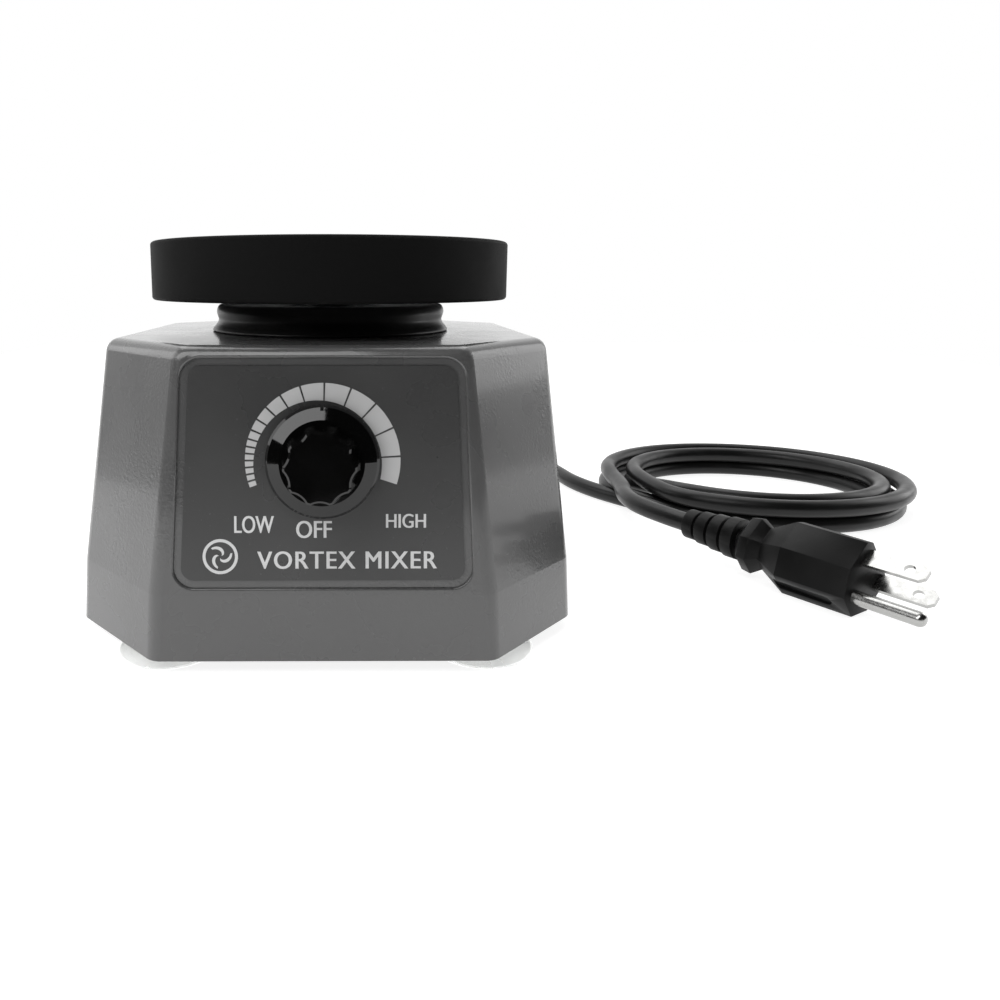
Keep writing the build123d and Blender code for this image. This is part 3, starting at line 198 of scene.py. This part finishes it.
# ---------------------------------------------------------------- materials
class Graph:
    """A small helper for building a node material."""

    def __init__(self, name):
        self.material = bpy.data.materials.new(name)
        self.material.use_nodes = True
        self.tree = self.material.node_tree
        self.shader = self.tree.nodes["Principled BSDF"]

    def node(self, kind, **settings):
        made = self.tree.nodes.new(kind)
        for key, value in settings.items():
            setattr(made, key, value)
        return made

    def link(self, source, target):
        self.tree.links.new(source, target)

    def place(self, stretch=(1, 1, 1)):
        """Object coordinates, stretched along the axes."""
        coordinates = self.node("ShaderNodeTexCoord")
        mapping = self.node("ShaderNodeMapping")
        mapping.inputs["Scale"].default_value = stretch
        self.link(coordinates.outputs["Object"], mapping.inputs["Vector"])
        return mapping.outputs["Vector"]

    def noise(self, vector, scale, detail=3.0, roughness=0.5):
        made = self.node("ShaderNodeTexNoise")
        made.inputs["Scale"].default_value = scale
        made.inputs["Detail"].default_value = detail
        made.inputs["Roughness"].default_value = roughness
        self.link(vector, made.inputs["Vector"])
        return made.outputs["Fac"]

    def cells(self, vector, scale, smoothness=0.6):
        made = self.node("ShaderNodeTexVoronoi", feature="SMOOTH_F1")
        made.inputs["Scale"].default_value = scale
        made.inputs["Smoothness"].default_value = smoothness
        self.link(vector, made.inputs["Vector"])
        return made.outputs["Distance"]

    def remap(self, value, low, high, to_low, to_high):
        made = self.node("ShaderNodeMapRange", interpolation_type="SMOOTHSTEP")
        for key, number in (("From Min", low), ("From Max", high), ("To Min", to_low), ("To Max", to_high)):
            made.inputs[key].default_value = number
        self.link(value, made.inputs["Value"])
        return made.outputs["Result"]

    def maths(self, operation, first, second):
        made = self.node("ShaderNodeMath", operation=operation)
        for socket, value in zip(made.inputs, (first, second)):
            if isinstance(value, (int, float)):
                socket.default_value = value
            else:
                self.link(value, socket)
        return made.outputs[0]

    def mix(self, factor, first, second):
        """Colour between two colours, each a tuple or a socket."""
        made = self.node("ShaderNodeMix", data_type="RGBA")
        for socket, value in ((made.inputs[6], first), (made.inputs[7], second)):
            if isinstance(value, tuple):
                socket.default_value = (*value, 1)
            else:
                self.link(value, socket)
        if isinstance(factor, (int, float)):
            made.inputs[0].default_value = factor
        else:
            self.link(factor, made.inputs[0])
        return made.outputs[2]

    def bump(self, height, distance, strength=1.0, normal=None):
        made = self.node("ShaderNodeBump")
        made.inputs["Distance"].default_value = distance
        if isinstance(strength, float):
            made.inputs["Strength"].default_value = strength
        else:
            self.link(strength, made.inputs["Strength"])
        self.link(height, made.inputs["Height"])
        if normal is not None:
            self.link(normal, made.inputs["Normal"])
        return made.outputs["Normal"]

    def edges(self, low=0.52, high=0.62):
        """One along convex edges and nought on flats: the mask for painted edge highlights."""
        geometry = self.node("ShaderNodeNewGeometry")
        return self.remap(geometry.outputs["Pointiness"], low, high, 0.0, 1.0)

    def finish(self, colour=None, roughness=None, normal=None, **sockets):
        for key, source in (("Base Color", colour), ("Roughness", roughness), ("Normal", normal)):
            if source is None:
                continue
            if isinstance(source, tuple):
                self.shader.inputs[key].default_value = (*source, 1)
            elif isinstance(source, (int, float)):
                self.shader.inputs[key].default_value = source
            else:
                self.link(source, self.shader.inputs[key])
        for key, value in sockets.items():
            self.shader.inputs[key.replace("_", " ")].default_value = value
        return self.material


def darker(colour, share):
    """The colour times a share; a share above one makes it paler."""
    return tuple(channel * share for channel in colour)


def hammered_enamel(name, colour):
    """Gloss enamel over a rough casting: fine orange peel in patches, pin-point grit, painted highlight on
    convex edges.
    """
    g = Graph(name)
    at = g.place()
    peel = g.noise(at, 950, 2.0, 0.5)
    pits = g.cells(at, 1500, 0.8)
    patches = g.remap(g.noise(at, 26, 3.0, 0.6), 0.40, 0.64, 0.04, 0.6)
    grit = g.remap(g.noise(at, 1100, 1.0), 0.72, 0.78, 0.0, 1.0)
    height = g.maths("ADD", peel, g.maths("MULTIPLY", pits, 0.5))
    normal = g.bump(height, 0.00016, patches)
    normal = g.bump(grit, 0.0001, 0.5, normal)
    cloud = g.remap(g.noise(at, 30, 4.0), 0.35, 0.7, 0, 1)
    shade = g.mix(cloud, darker(colour, 0.97), darker(colour, 1.03))
    shade = g.mix(g.maths("MULTIPLY", grit, 0.3), shade, darker(colour, 1.5))
    # painted highlight: paler colour along convex edges
    shade = g.mix(g.maths("MULTIPLY", g.edges(), 0.2), shade, darker(colour, 1.4))
    rough = g.remap(g.noise(at, 60, 3.0), 0.3, 0.7, 0.24, 0.32)
    return g.finish(shade, rough, normal, Coat_Weight=0.6, Coat_Roughness=0.1)


def plastic(name, colour, rough=(0.2, 0.3), grain=900, grain_depth=2e-5, coat=0.0, specular=0.5):
    """Moulded plastic: a fine grain, a little uneven gloss and a painted highlight of paler colour on
    convex edges.
    """
    g = Graph(name)
    at = g.place()
    normal = g.bump(g.noise(at, grain, 2.0), grain_depth, 0.6)
    shade = g.mix(g.noise(at, 45, 3.0), darker(colour, 0.88), darker(colour, 1.12))
    # painted highlight: paler colour along convex edges
    shade = g.mix(g.maths("MULTIPLY", g.edges(), 0.2), shade, tuple(0.04 + 1.2 * c for c in colour))
    gloss = g.remap(g.noise(at, 120, 4.0), 0.3, 0.7, rough[0], rough[1])
    coating = {"Coat_Weight": coat, "Coat_Roughness": 0.05}
    return g.finish(shade, gloss, normal, Specular_IOR_Level=specular, **coating)


def rubber(name, colour, rough=(0.5, 0.68), grain=1400, grain_depth=3e-5, dust=0.12, specular=0.35):
    """Moulded rubber: a dull grained skin with a little bloom and dust in its hollows, and a painted
    highlight on convex edges.
    """
    g = Graph(name)
    at = g.place()
    grain_noise = g.noise(at, grain, 2.0, 0.6)
    normal = g.bump(grain_noise, grain_depth, 0.7)
    bloom = g.remap(g.noise(at, 34, 5.0, 0.62), 0.5, 0.78, 0.0, dust)
    shade = g.mix(bloom, colour, tuple(0.02 + 1.5 * c for c in colour))
    # painted highlight: paler colour along convex edges
    shade = g.mix(g.maths("MULTIPLY", g.edges(), 0.25), shade, tuple(0.02 + 1.3 * c for c in colour))
    gloss = g.remap(g.noise(at, 80, 4.0), 0.3, 0.7, rough[0], rough[1])
    sheen = {"Sheen_Weight": 0.01, "Sheen_Roughness": 0.5}
    return g.finish(shade, gloss, normal, Specular_IOR_Level=specular, **sheen)


def milky_vinyl(name, colour):
    """Clear milky vinyl of a suction cup: light goes through it, with faint flow marks."""
    g = Graph(name)
    at = g.place()
    normal = g.bump(g.noise(at, 240, 3.0), 0.00006, 0.5)
    shade = g.mix(g.noise(at, 90, 3.0), darker(colour, 0.95), colour)
    rough = g.remap(g.noise(at, 150, 2.0), 0.3, 0.7, 0.16, 0.28)
    return g.finish(shade, rough, normal, Transmission_Weight=0.8, IOR=1.35)


def metal(name, colour, rough, stretch=(1, 1, 12), scale=240, depth=1e-5):
    """Worked metal: fine lines across the stretch, uneven gloss and a painted highlight of brighter colour
    on convex edges.
    """
    g = Graph(name)
    at = g.place(stretch)
    lines = g.noise(at, scale, 3.0, 0.6)
    normal = g.bump(lines, depth, 0.6)
    shade = g.mix(g.noise(g.place(), 70, 4.0), darker(colour, 0.82), colour)
    # painted highlight: brighter colour along convex edges
    shade = g.mix(g.maths("MULTIPLY", g.edges(), 0.35), shade, tuple(min(1.0, 1.25 * c) for c in colour))
    gloss = g.remap(lines, 0.3, 0.7, rough[0], rough[1])
    return g.finish(shade, gloss, normal, Metallic=1.0)


def printed_ink(name, colour):
    """Screen-printed ink, slightly raised and a little uneven."""
    g = Graph(name)
    at = g.place()
    normal = g.bump(g.noise(at, 1800, 2.0), 0.00001, 0.5)
    shade = g.mix(g.noise(at, 300, 3.0), darker(colour, 0.94), colour)
    return g.finish(shade, g.remap(g.noise(at, 500, 2.0), 0.3, 0.7, 0.42, 0.55), normal)


def panel_finish(name, colour):
    """Smooth dial panel with an even satin gloss, fine dust marks and faint rubbing."""
    g = Graph(name)
    at = g.place()
    orange_peel = g.noise(at, 420, 2.0)
    normal = g.bump(orange_peel, 0.00003, 0.35)
    specks = g.remap(g.noise(at, 1300, 1.0), 0.74, 0.79, 0.0, 0.5)
    shade = g.mix(g.noise(at, 22, 4.0), darker(colour, 0.93), darker(colour, 1.07))
    shade = g.mix(specks, shade, tuple(c + 0.05 for c in colour))
    gloss = g.remap(g.noise(at, 40, 5.0), 0.3, 0.7, 0.26, 0.36)
    return g.finish(shade, gloss, normal, Specular_IOR_Level=0.5)


def winding(name, colour):
    """Enamelled wire wound side by side round the bobbin."""
    g = Graph(name)
    at = g.place()
    wave = g.node("ShaderNodeTexWave", wave_type="BANDS", bands_direction="X")
    wave.inputs["Scale"].default_value = 420
    wave.inputs["Distortion"].default_value = 1.2
    g.link(at, wave.inputs["Vector"])
    normal = g.bump(wave.outputs["Fac"], 0.0002, 0.7)
    shade = g.mix(wave.outputs["Fac"], darker(colour, 0.45), colour)
    return g.finish(shade, 0.28, normal, Metallic=0.85)


def laminated(name, colour):
    """Stacked steel sheets: thin dark joints at every sheet."""
    g = Graph(name)
    at = g.place()
    wave = g.node("ShaderNodeTexWave", wave_type="BANDS", bands_direction="Z")
    wave.inputs["Scale"].default_value = 320
    g.link(at, wave.inputs["Vector"])
    normal = g.bump(wave.outputs["Fac"], 0.0001, 0.6)
    shade = g.mix(wave.outputs["Fac"], darker(colour, 0.5), colour)
    return g.finish(shade, g.remap(g.noise(at, 200, 3.0), 0.3, 0.7, 0.35, 0.5), normal, Metallic=0.9)


EVEN = (1, 1, 1)
finishes = {
    "housing_paint": hammered_enamel("hammered_enamel", grey(0.085)),
    "sheet_steel": plastic("black_enamel", grey(0.03), (0.3, 0.42), 600, 4e-5),
    "suction_rubber": milky_vinyl("milky_vinyl", (0.96, 0.97, 0.96)),
    "panel_print": panel_finish("panel_grey", grey(0.052)),
    "knob_plastic": plastic("gloss_black", grey(0.0015), (0.06, 0.12), 1200, 4e-6, 0.2, 0.4),
    "platform_rubber": rubber("platform_black", grey(0.006), (0.58, 0.64), dust=0.02, specular=0.05),
    "boot_rubber": rubber("boot_black", grey(0.02), (0.3, 0.42), 700, 2e-5),
    "isolator_rubber": rubber("isolator_black", grey(0.02)),
    "cast_aluminium": metal("cast_aluminium", (0.62, 0.62, 0.63), (0.3, 0.45), EVEN, 900, 3e-5),
    "zinc_screws": metal("zinc_plate", (0.70, 0.70, 0.68), (0.16, 0.3)),
    "ground_steel": metal("ground_steel", grey(0.58), (0.14, 0.26)),
    "crank_iron": metal("machined_iron", grey(0.22), (0.35, 0.5), EVEN, 700, 4e-5),
    "laminations": laminated("laminations", (0.32, 0.32, 0.33)),
    "copper": winding("copper_wire", (0.72, 0.30, 0.14)),
    "bronze": metal("sintered_bronze", (0.60, 0.42, 0.20), (0.3, 0.42), EVEN, 1600, 2e-5),
    "white_plastic": plastic("natural_nylon", (0.70, 0.68, 0.60), (0.35, 0.5)),
    "black_plastic": plastic("phenolic_black", grey(0.012), (0.16, 0.28)),
    "control_case": plastic("control_case", (0.05, 0.05, 0.055), (0.35, 0.5)),
    "board": plastic("solder_mask", (0.02, 0.12, 0.04), (0.2, 0.32)),
    "cord_jacket": rubber("cord_jacket", grey(0.006), (0.28, 0.42), 1100, 1.5e-5, 0.06, 0.3),
    "plug_vinyl": rubber("plug_vinyl", grey(0.005), (0.34, 0.5), 900, 3.5e-5, 0.08, 0.15),
    "plug_metal": metal("nickel_plate", (0.46, 0.46, 0.45), (0.16, 0.3), EVEN, 500),
}
ink = printed_ink("grey_ink", grey(0.58))
bright_ink = printed_ink("pale_ink", grey(0.74))


def dress_nodes():
    """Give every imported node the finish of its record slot."""
    for name, slot in slots.items():
        for place in nodes[name].material_slots:
            place.material = finishes[slot]


# ---------------------------------------------------------------- mesh helpers
def piece_from(name, mesh, material, slot, body="housing", smooth=True):
    """Link a finished mesh as a piece that rides on a body, or on none yet."""
    mesh.materials.clear()
    mesh.materials.append(material)
    for polygon in mesh.polygons:
        polygon.use_smooth = smooth
    piece = bpy.data.objects.new(name, mesh)
    bpy.context.collection.objects.link(piece)
    if body:
        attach(piece, body)
    return piece


def softened(node, width):
    """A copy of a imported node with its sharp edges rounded, in place of the node."""
    bm = bmesh.new()
    bm.from_mesh(nodes[node].data)
    bmesh.ops.remove_doubles(bm, verts=bm.verts, dist=1e-6)
    bmesh.ops.dissolve_limit(bm, angle_limit=math.radians(1.0), verts=bm.verts, edges=bm.edges)
    mesh = bpy.data.meshes.new(node + "_soft")
    bm.to_mesh(mesh)
    bm.free()
    copy = bpy.data.objects.new(node + "_soft", mesh)
    bpy.context.collection.objects.link(copy)
    bevel = copy.modifiers.new("edges", "BEVEL")
    bevel.width = width
    bevel.segments = 3
    bevel.limit_method = "ANGLE"
    bevel.angle_limit = math.radians(24.0)
    bevel.harden_normals = True
    bpy.context.view_layer.update()
    made = bpy.data.meshes.new_from_object(copy.evaluated_get(bpy.context.evaluated_depsgraph_get()))
    bpy.data.objects.remove(copy)
    slot = slots[node]
    piece = piece_from(node + "_soft", made, finishes[slot], slot, nodes[node]["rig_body"])
    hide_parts(node)
    return piece


# ---------------------------------------------------------------- the cord
CORD_RADIUS = 3.8 * MM
LAYER = 3 * CORD_RADIUS + 0.2 * MM  # height of the upper turns' middle
COIL_CENTRE = Vector((206.0, 96.0, 0)) * MM
COIL_HALF = (64.0 * MM, 51.0 * MM)
LANE = 4.2 * MM
cord_start_route = [
    (20.0, 99.0, 15.5),
    (20.0, 121.0, 15.5),
    (24.5, 150.5, 3.8),
    (40.0, 175.0, 3.8),
    (63.0, 187.5, 3.8),
    (88.5, 185.5, 3.8),
    (109.0, 169.5, 3.8),
    (119.0, 139.0, 3.8),
    (123.6, 101.7, 3.8),
]
cord_end_route = [
    (136.5, 76.0, 11.6),
    (131.0, 56.5, 11.6),
    (133.5, 36.5, 11.9),
    (144.0, 18.31, 11.9),
]
cord_routes = (cord_start_route, cord_end_route)
COIL_FROM, COIL_TO, COIL_STEP = 215.0, 1620.0, 20.0  # degrees round the coil
MOVE_IN, MOVE_OUT = (530, 585), (1255, 1310)  # where the cord changes lanes
MOVE_UP = (880, 930)  # where it climbs on to the turns below
SETTLE, LEAVE, UPPER_LEAVE = (230, 300), (1540, 1600), (1500, 1600)
LOOSENESS = 1.3 * MM  # how far the turns wander from their lanes
UPPER_SHIFT = (2.6 * MM, -2.2 * MM)  # the upper turns lie a little off the lower ones


def ease(value, low, high):
    """Smooth step from nought at low to one at high."""
    share = min(1.0, max(0.0, (value - low) / (high - low)))
    return share * share * (3 - 2 * share)


def coil_points():
    """Loose turns: outer and inner lanes on the table, then inner and outer lanes on top of them."""
    count = round((COIL_TO - COIL_FROM) / COIL_STEP)
    points = []
    for i in range(count + 1):
        angle = COIL_FROM + (COIL_TO - COIL_FROM) * i / count
        turn = math.radians(angle)
        inner = ease(angle, *MOVE_IN) - ease(angle, *MOVE_OUT)
        upper = ease(angle, *MOVE_UP)
        lane = LANE * (1 - 2 * inner)
        wander = LOOSENESS * (1 + math.sin(1.7 * turn + 0.6))
        wander = wander * ease(angle, *SETTLE) * (1 - ease(angle, *LEAVE))
        lane += wander if inner < 0.5 else -wander
        slip = upper * (1 - ease(angle, *UPPER_LEAVE))
        x = COIL_CENTRE.x + (COIL_HALF[0] + lane) * math.cos(turn) + UPPER_SHIFT[0] * slip
        y = COIL_CENTRE.y + (COIL_HALF[1] + lane) * math.sin(turn) + UPPER_SHIFT[1] * slip
        z = CORD_RADIUS + (LAYER - CORD_RADIUS) * upper
        points.append((x, y, z))
    return points


def smooth_curve(name, points, radius):
    """Open NURBS line of order 3 through the hull of its points, as a round cord."""
    data = bpy.data.curves.new(name, "CURVE")
    data.dimensions = "3D"
    data.resolution_u = 12
    data.bevel_depth = radius
    data.bevel_resolution = 8
    spline = data.splines.new("NURBS")
    spline.points.add(len(points) - 1)
    for point, place in zip(spline.points, points):
        point.co = (*place, 1)
    spline.order_u = 3
    spline.use_endpoint_u = True
    return bpy.data.objects.new(name, data)


def add_cord():
    """The mains cord from the strain relief through its loose coil to the plug."""
    start, end = ([tuple(value * MM for value in point) for point in route] for route in cord_routes)
    points = start + coil_points() + end
    cord = smooth_curve("mains_cord", points, CORD_RADIUS)
    cord.data.materials.append(finishes["cord_jacket"])
    bpy.context.collection.objects.link(cord)
    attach(cord, "housing")
    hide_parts("cord", "cord_coil", "cord_end")
    plug = [softened("plug_body", 0.5 * MM), nodes["plug_blades"], nodes["plug_ground_pin"]]
    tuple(points[0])


# ---------------------------------------------------------------- the dial print
PRINT_LIFT = 0.04 * MM
PRINT_FOOT = 0.01 * MM  # the lettering's underside, just off the panel
COPY_DROP = 0.004 * MM  # between the shifted copies that make lettering bolder
SCALE_OUTER = 21.4 * MM
SCALE_INNER = 17.7 * MM
SCALE_INNER_SHIFT = Vector((-1.4, -1.1)) * MM
SCALE_FROM, SCALE_TO = 201.0, -18.7
SCALE_BLOCKS = 18
SCALE_SHORT, SCALE_LONG = 5.4, 22.4  # degrees, of the blocks at LOW and at HIGH
SCALE_GAP = 0.55 * MM
PANEL_LIFT = -0.2 * MM  # the panel's face, from the plane of the sloping wall
CREASE_RISE = 37.5 * MM  # from the crease up the slope to the knob's axis
LABELS = (  # name, words, left, right, low, high in mm, and the letters' spacing
    ("label_low", "LOW", -24.5, -13.5, 17.4, 22.2, 1.0),
    ("label_off", "OFF", -7.4, 2.5, 16.0, 20.8, 1.0),
    ("label_high", "HIGH", 17.4, 28.5, 18.8, 22.7, 1.0),
    ("label_name", "VORTEX MIXER", -18.2, 31.6, 7.4, 12.3, 1.12),
)
LETTER_WEIGHT = 0.02  # of the letters' height
SIGN_CENTRE = Vector((-28.4 * MM, 10.85 * MM - CREASE_RISE))
SIGN_RADIUS, SIGN_STROKE = 4.9 * MM, 0.42 * MM


def on_dial(x, y, lift=PRINT_LIFT):
    """Point on the dial panel: x to the right of the knob's axis and y up the slope."""
    return dial_origin + dial_right * x + dial_up * y + dial_normal * (PANEL_LIFT + lift)


def plate_from_outline(bm, outlines, thickness=0.03 * MM):
    """Thin raised plates on the dial from lists of (x, y) corners."""
    for outline in outlines:
        top = [bm.verts.new(on_dial(x, y)) for x, y in outline]
        foot = [bm.verts.new(on_dial(x, y, PRINT_LIFT - thickness)) for x, y in outline]
        bm.faces.new(top)
        for i, corner in enumerate(top):
            after = (i + 1) % len(top)
            bm.faces.new((corner, foot[i], foot[after], top[after]))


def inner_radius(angle):
    """Distance from the knob's axis to the scale's inner circle, whose centre is off the axis."""
    direction = Vector((math.cos(angle), math.sin(angle)))
    along = SCALE_INNER_SHIFT.dot(direction)
    return along + math.sqrt(along * along - SCALE_INNER_SHIFT.length_squared + SCALE_INNER ** 2)


def scale_blocks():
    """Blocks of the scale, each a little longer than the one before, clockwise from LOW to HIGH."""
    widths = [SCALE_SHORT + (SCALE_LONG - SCALE_SHORT) * ease(i, 5, 15) for i in range(SCALE_BLOCKS)]
    angle = SCALE_FROM
    for block in widths:
        width = (SCALE_FROM - SCALE_TO) * block / sum(widths)
        half_gap = math.degrees(SCALE_GAP / 2 / SCALE_OUTER)
        start, end = math.radians(angle - half_gap), math.radians(angle - width + half_gap)
        steps = max(3, round(width / 2))
        sweep = [start + (end - start) * k / steps for k in range(steps + 1)]
        outer = [(SCALE_OUTER * math.cos(a), SCALE_OUTER * math.sin(a)) for a in sweep]
        inner = [(inner_radius(a) * math.cos(a), inner_radius(a) * math.sin(a)) for a in reversed(sweep)]
        yield outer + inner
        angle -= width


def add_scale():
    bm = bmesh.new()
    plate_from_outline(bm, scale_blocks())
    bmesh.ops.recalc_face_normals(bm, faces=bm.faces)
    mesh = bpy.data.meshes.new("dial_scale")
    bm.to_mesh(mesh)
    piece_from("dial_scale", mesh, ink, "panel_print", smooth=False)


def add_lettering(name, text, left, right, low, high, spacing):
    """Raised lettering that fills a box on the dial, measured from the crease up the slope.

    The strokes are made bolder by shifted copies, each a hair lower than the one before.
    """
    data = bpy.data.curves.new(name, "FONT")
    data.body = text
    data.extrude = 0.015
    data.offset = 0.001
    data.space_character = spacing
    data.resolution_u = 6
    source = bpy.data.objects.new(name + "_source", data)
    bpy.context.collection.objects.link(source)
    bpy.context.view_layer.update()
    letters = bpy.data.meshes.new_from_object(source.evaluated_get(bpy.context.evaluated_depsgraph_get()))
    bpy.data.objects.remove(source)
    bm = bmesh.new()
    for shift, drop in ((0, 0), (-LETTER_WEIGHT, 1), (LETTER_WEIGHT, 2)):
        first = len(bm.verts)
        bm.from_mesh(letters)
        bm.verts.ensure_lookup_table()
        for vertex in bm.verts[first:]:
            vertex.co.x += shift
            vertex.co.z = PRINT_LIFT - drop * COPY_DROP if vertex.co.z > 0 else PRINT_FOOT
    xs = [v.co.x for v in bm.verts]
    ys = [v.co.y for v in bm.verts]
    for vertex in bm.verts:
        x = left + (vertex.co.x - min(xs)) / (max(xs) - min(xs)) * (right - left)
        y = low + (vertex.co.y - min(ys)) / (max(ys) - min(ys)) * (high - low) - CREASE_RISE
        vertex.co = on_dial(x, y, vertex.co.z)
    mesh = bpy.data.meshes.new(name)
    bm.to_mesh(mesh)
    piece_from(name, mesh, bright_ink, "panel_print", smooth=False)


def sign_point(angle, radius):
    return tuple(SIGN_CENTRE + Vector((math.cos(angle), math.sin(angle))) * radius)


def add_swirl_sign():
    """Plain ring with three curved strokes inside it, the general sign for stirring."""
    ring_steps, arm_steps = 48, 12
    outlines = []
    inside = SIGN_RADIUS - 2 * SIGN_STROKE
    for i in range(ring_steps):
        a, b = (2 * math.pi * k / ring_steps for k in (i, i + 1))
        ring = ((a, SIGN_RADIUS), (b, SIGN_RADIUS), (b, inside), (a, inside))
        outlines.append([sign_point(angle, radius) for angle, radius in ring])
    for arm in range(3):
        first = 2 * math.pi * arm / 3 + 0.5
        for k in range(arm_steps):
            corners = []
            for step, side in ((k, 1), (k + 1, 1), (k + 1, -1), (k, -1)):
                share = step / arm_steps
                radius = (0.7 + 2.5 * share) * MM
                width = SIGN_STROKE * (0.55 + 0.7 * math.sin(math.pi * (0.1 + 0.85 * share)))
                corners.append(sign_point(first + 1.9 * share, radius + side * width))
            outlines.append(corners)
    bm = bmesh.new()
    plate_from_outline(bm, outlines)
    bmesh.ops.remove_doubles(bm, verts=bm.verts, dist=1e-7)
    bmesh.ops.recalc_face_normals(bm, faces=bm.faces)
    mesh = bpy.data.meshes.new("swirl_sign")
    bm.to_mesh(mesh)
    piece_from("swirl_sign", mesh, bright_ink, "panel_print", smooth=False)


def add_dial_print():
    add_scale()
    for name, words, left, right, low, high, spacing in LABELS:
        add_lettering(name, words, left * MM, right * MM, low * MM, high * MM, spacing)
    add_swirl_sign()


# ---------------------------------------------------------------- the boot
def lathe(name, rings, segments, centre):
    """Surface of revolution from (radius, height) rings, each round its own centre, closed into a loop."""
    bm = bmesh.new()
    loops = []
    for radius, height in rings:
        cx, cy = centre(height)
        loops.append([
            bm.verts.new((cx + radius * math.cos(a), cy + radius * math.sin(a), height))
            for a in (2 * math.pi * k / segments for k in range(segments))
        ])
    for lower, upper in zip(loops, loops[1:] + loops[:1]):
        for k in range(segments):
            after = (k + 1) % segments
            bm.faces.new((lower[k], lower[after], upper[after], upper[k]))
    bmesh.ops.recalc_face_normals(bm, faces=bm.faces)
    mesh = bpy.data.meshes.new(name)
    bm.to_mesh(mesh)
    return mesh


def rounded(profile, divisions):
    """A closed (radius, height) profile with each corner softened by corner cutting."""
    for _ in range(divisions):
        cut = []
        for here, after in zip(profile, profile[1:] + profile[:1]):
            a, b = Vector(here), Vector(after)
            cut += [tuple(a.lerp(b, 0.25)), tuple(a.lerp(b, 0.75))]
        profile = cut
    return profile


def add_boot():
    """Bellows with a beaded foot, a waist and a rolled shoulder, closing on the platform's hub."""
    base, top = boot_low.z, boot_high.z
    outer = (boot_high.x - boot_low.x) / 2
    wall = 1.8 * MM
    hub = 8.8 * MM
    throw = crank_pin.y
    profile = [
        (outer - 5.8 * MM, base),
        (outer - 0.5 * MM, base),
        (outer, base + 0.5 * MM),
        (outer - 0.5 * MM, base + 1.3 * MM),
        (outer - 1.7 * MM, base + 2.6 * MM),
        (outer - 2.3 * MM, base + 4.0 * MM),
        (outer - 1.8 * MM, base + 5.3 * MM),
        (outer - 1.3 * MM, base + 6.5 * MM),
        (outer - 1.4 * MM, base + 7.8 * MM),
        (outer - 2.2 * MM, top - 0.2 * MM),
        (outer - 4.2 * MM, top),
        (outer - 8.0 * MM, top - 0.3 * MM),
        (hub + 9.0 * MM, top - 0.5 * MM),
        (hub + 3.0 * MM, top - 0.2 * MM),
        (hub, top),
        (hub, top - wall),
        (hub + 9.0 * MM, top - wall - 0.4 * MM),
        (outer - 7.0 * MM, top - wall - 0.1 * MM),
        (outer - 4.4 * MM, top - wall - 0.9 * MM),
        (outer - 4.2 * MM, base + 4.4 * MM),
        (outer - 5.8 * MM, base + 3.4 * MM),
    ]

    def lean(height):
        return (0.0, throw * ease(height, base + 3 * MM, top - 1 * MM))

    mesh = lathe("rubber_boot", rounded(profile, 2), 160, lean)
    boot = piece_from("rubber_boot", mesh, finishes["boot_rubber"], "boot_rubber", body=None)
    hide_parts("boot")
    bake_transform(boot)


# ---------------------------------------------------------------- make it
add_camera()
add_stage()
dress_nodes()
add_cord()
add_dial_print()
add_boot()
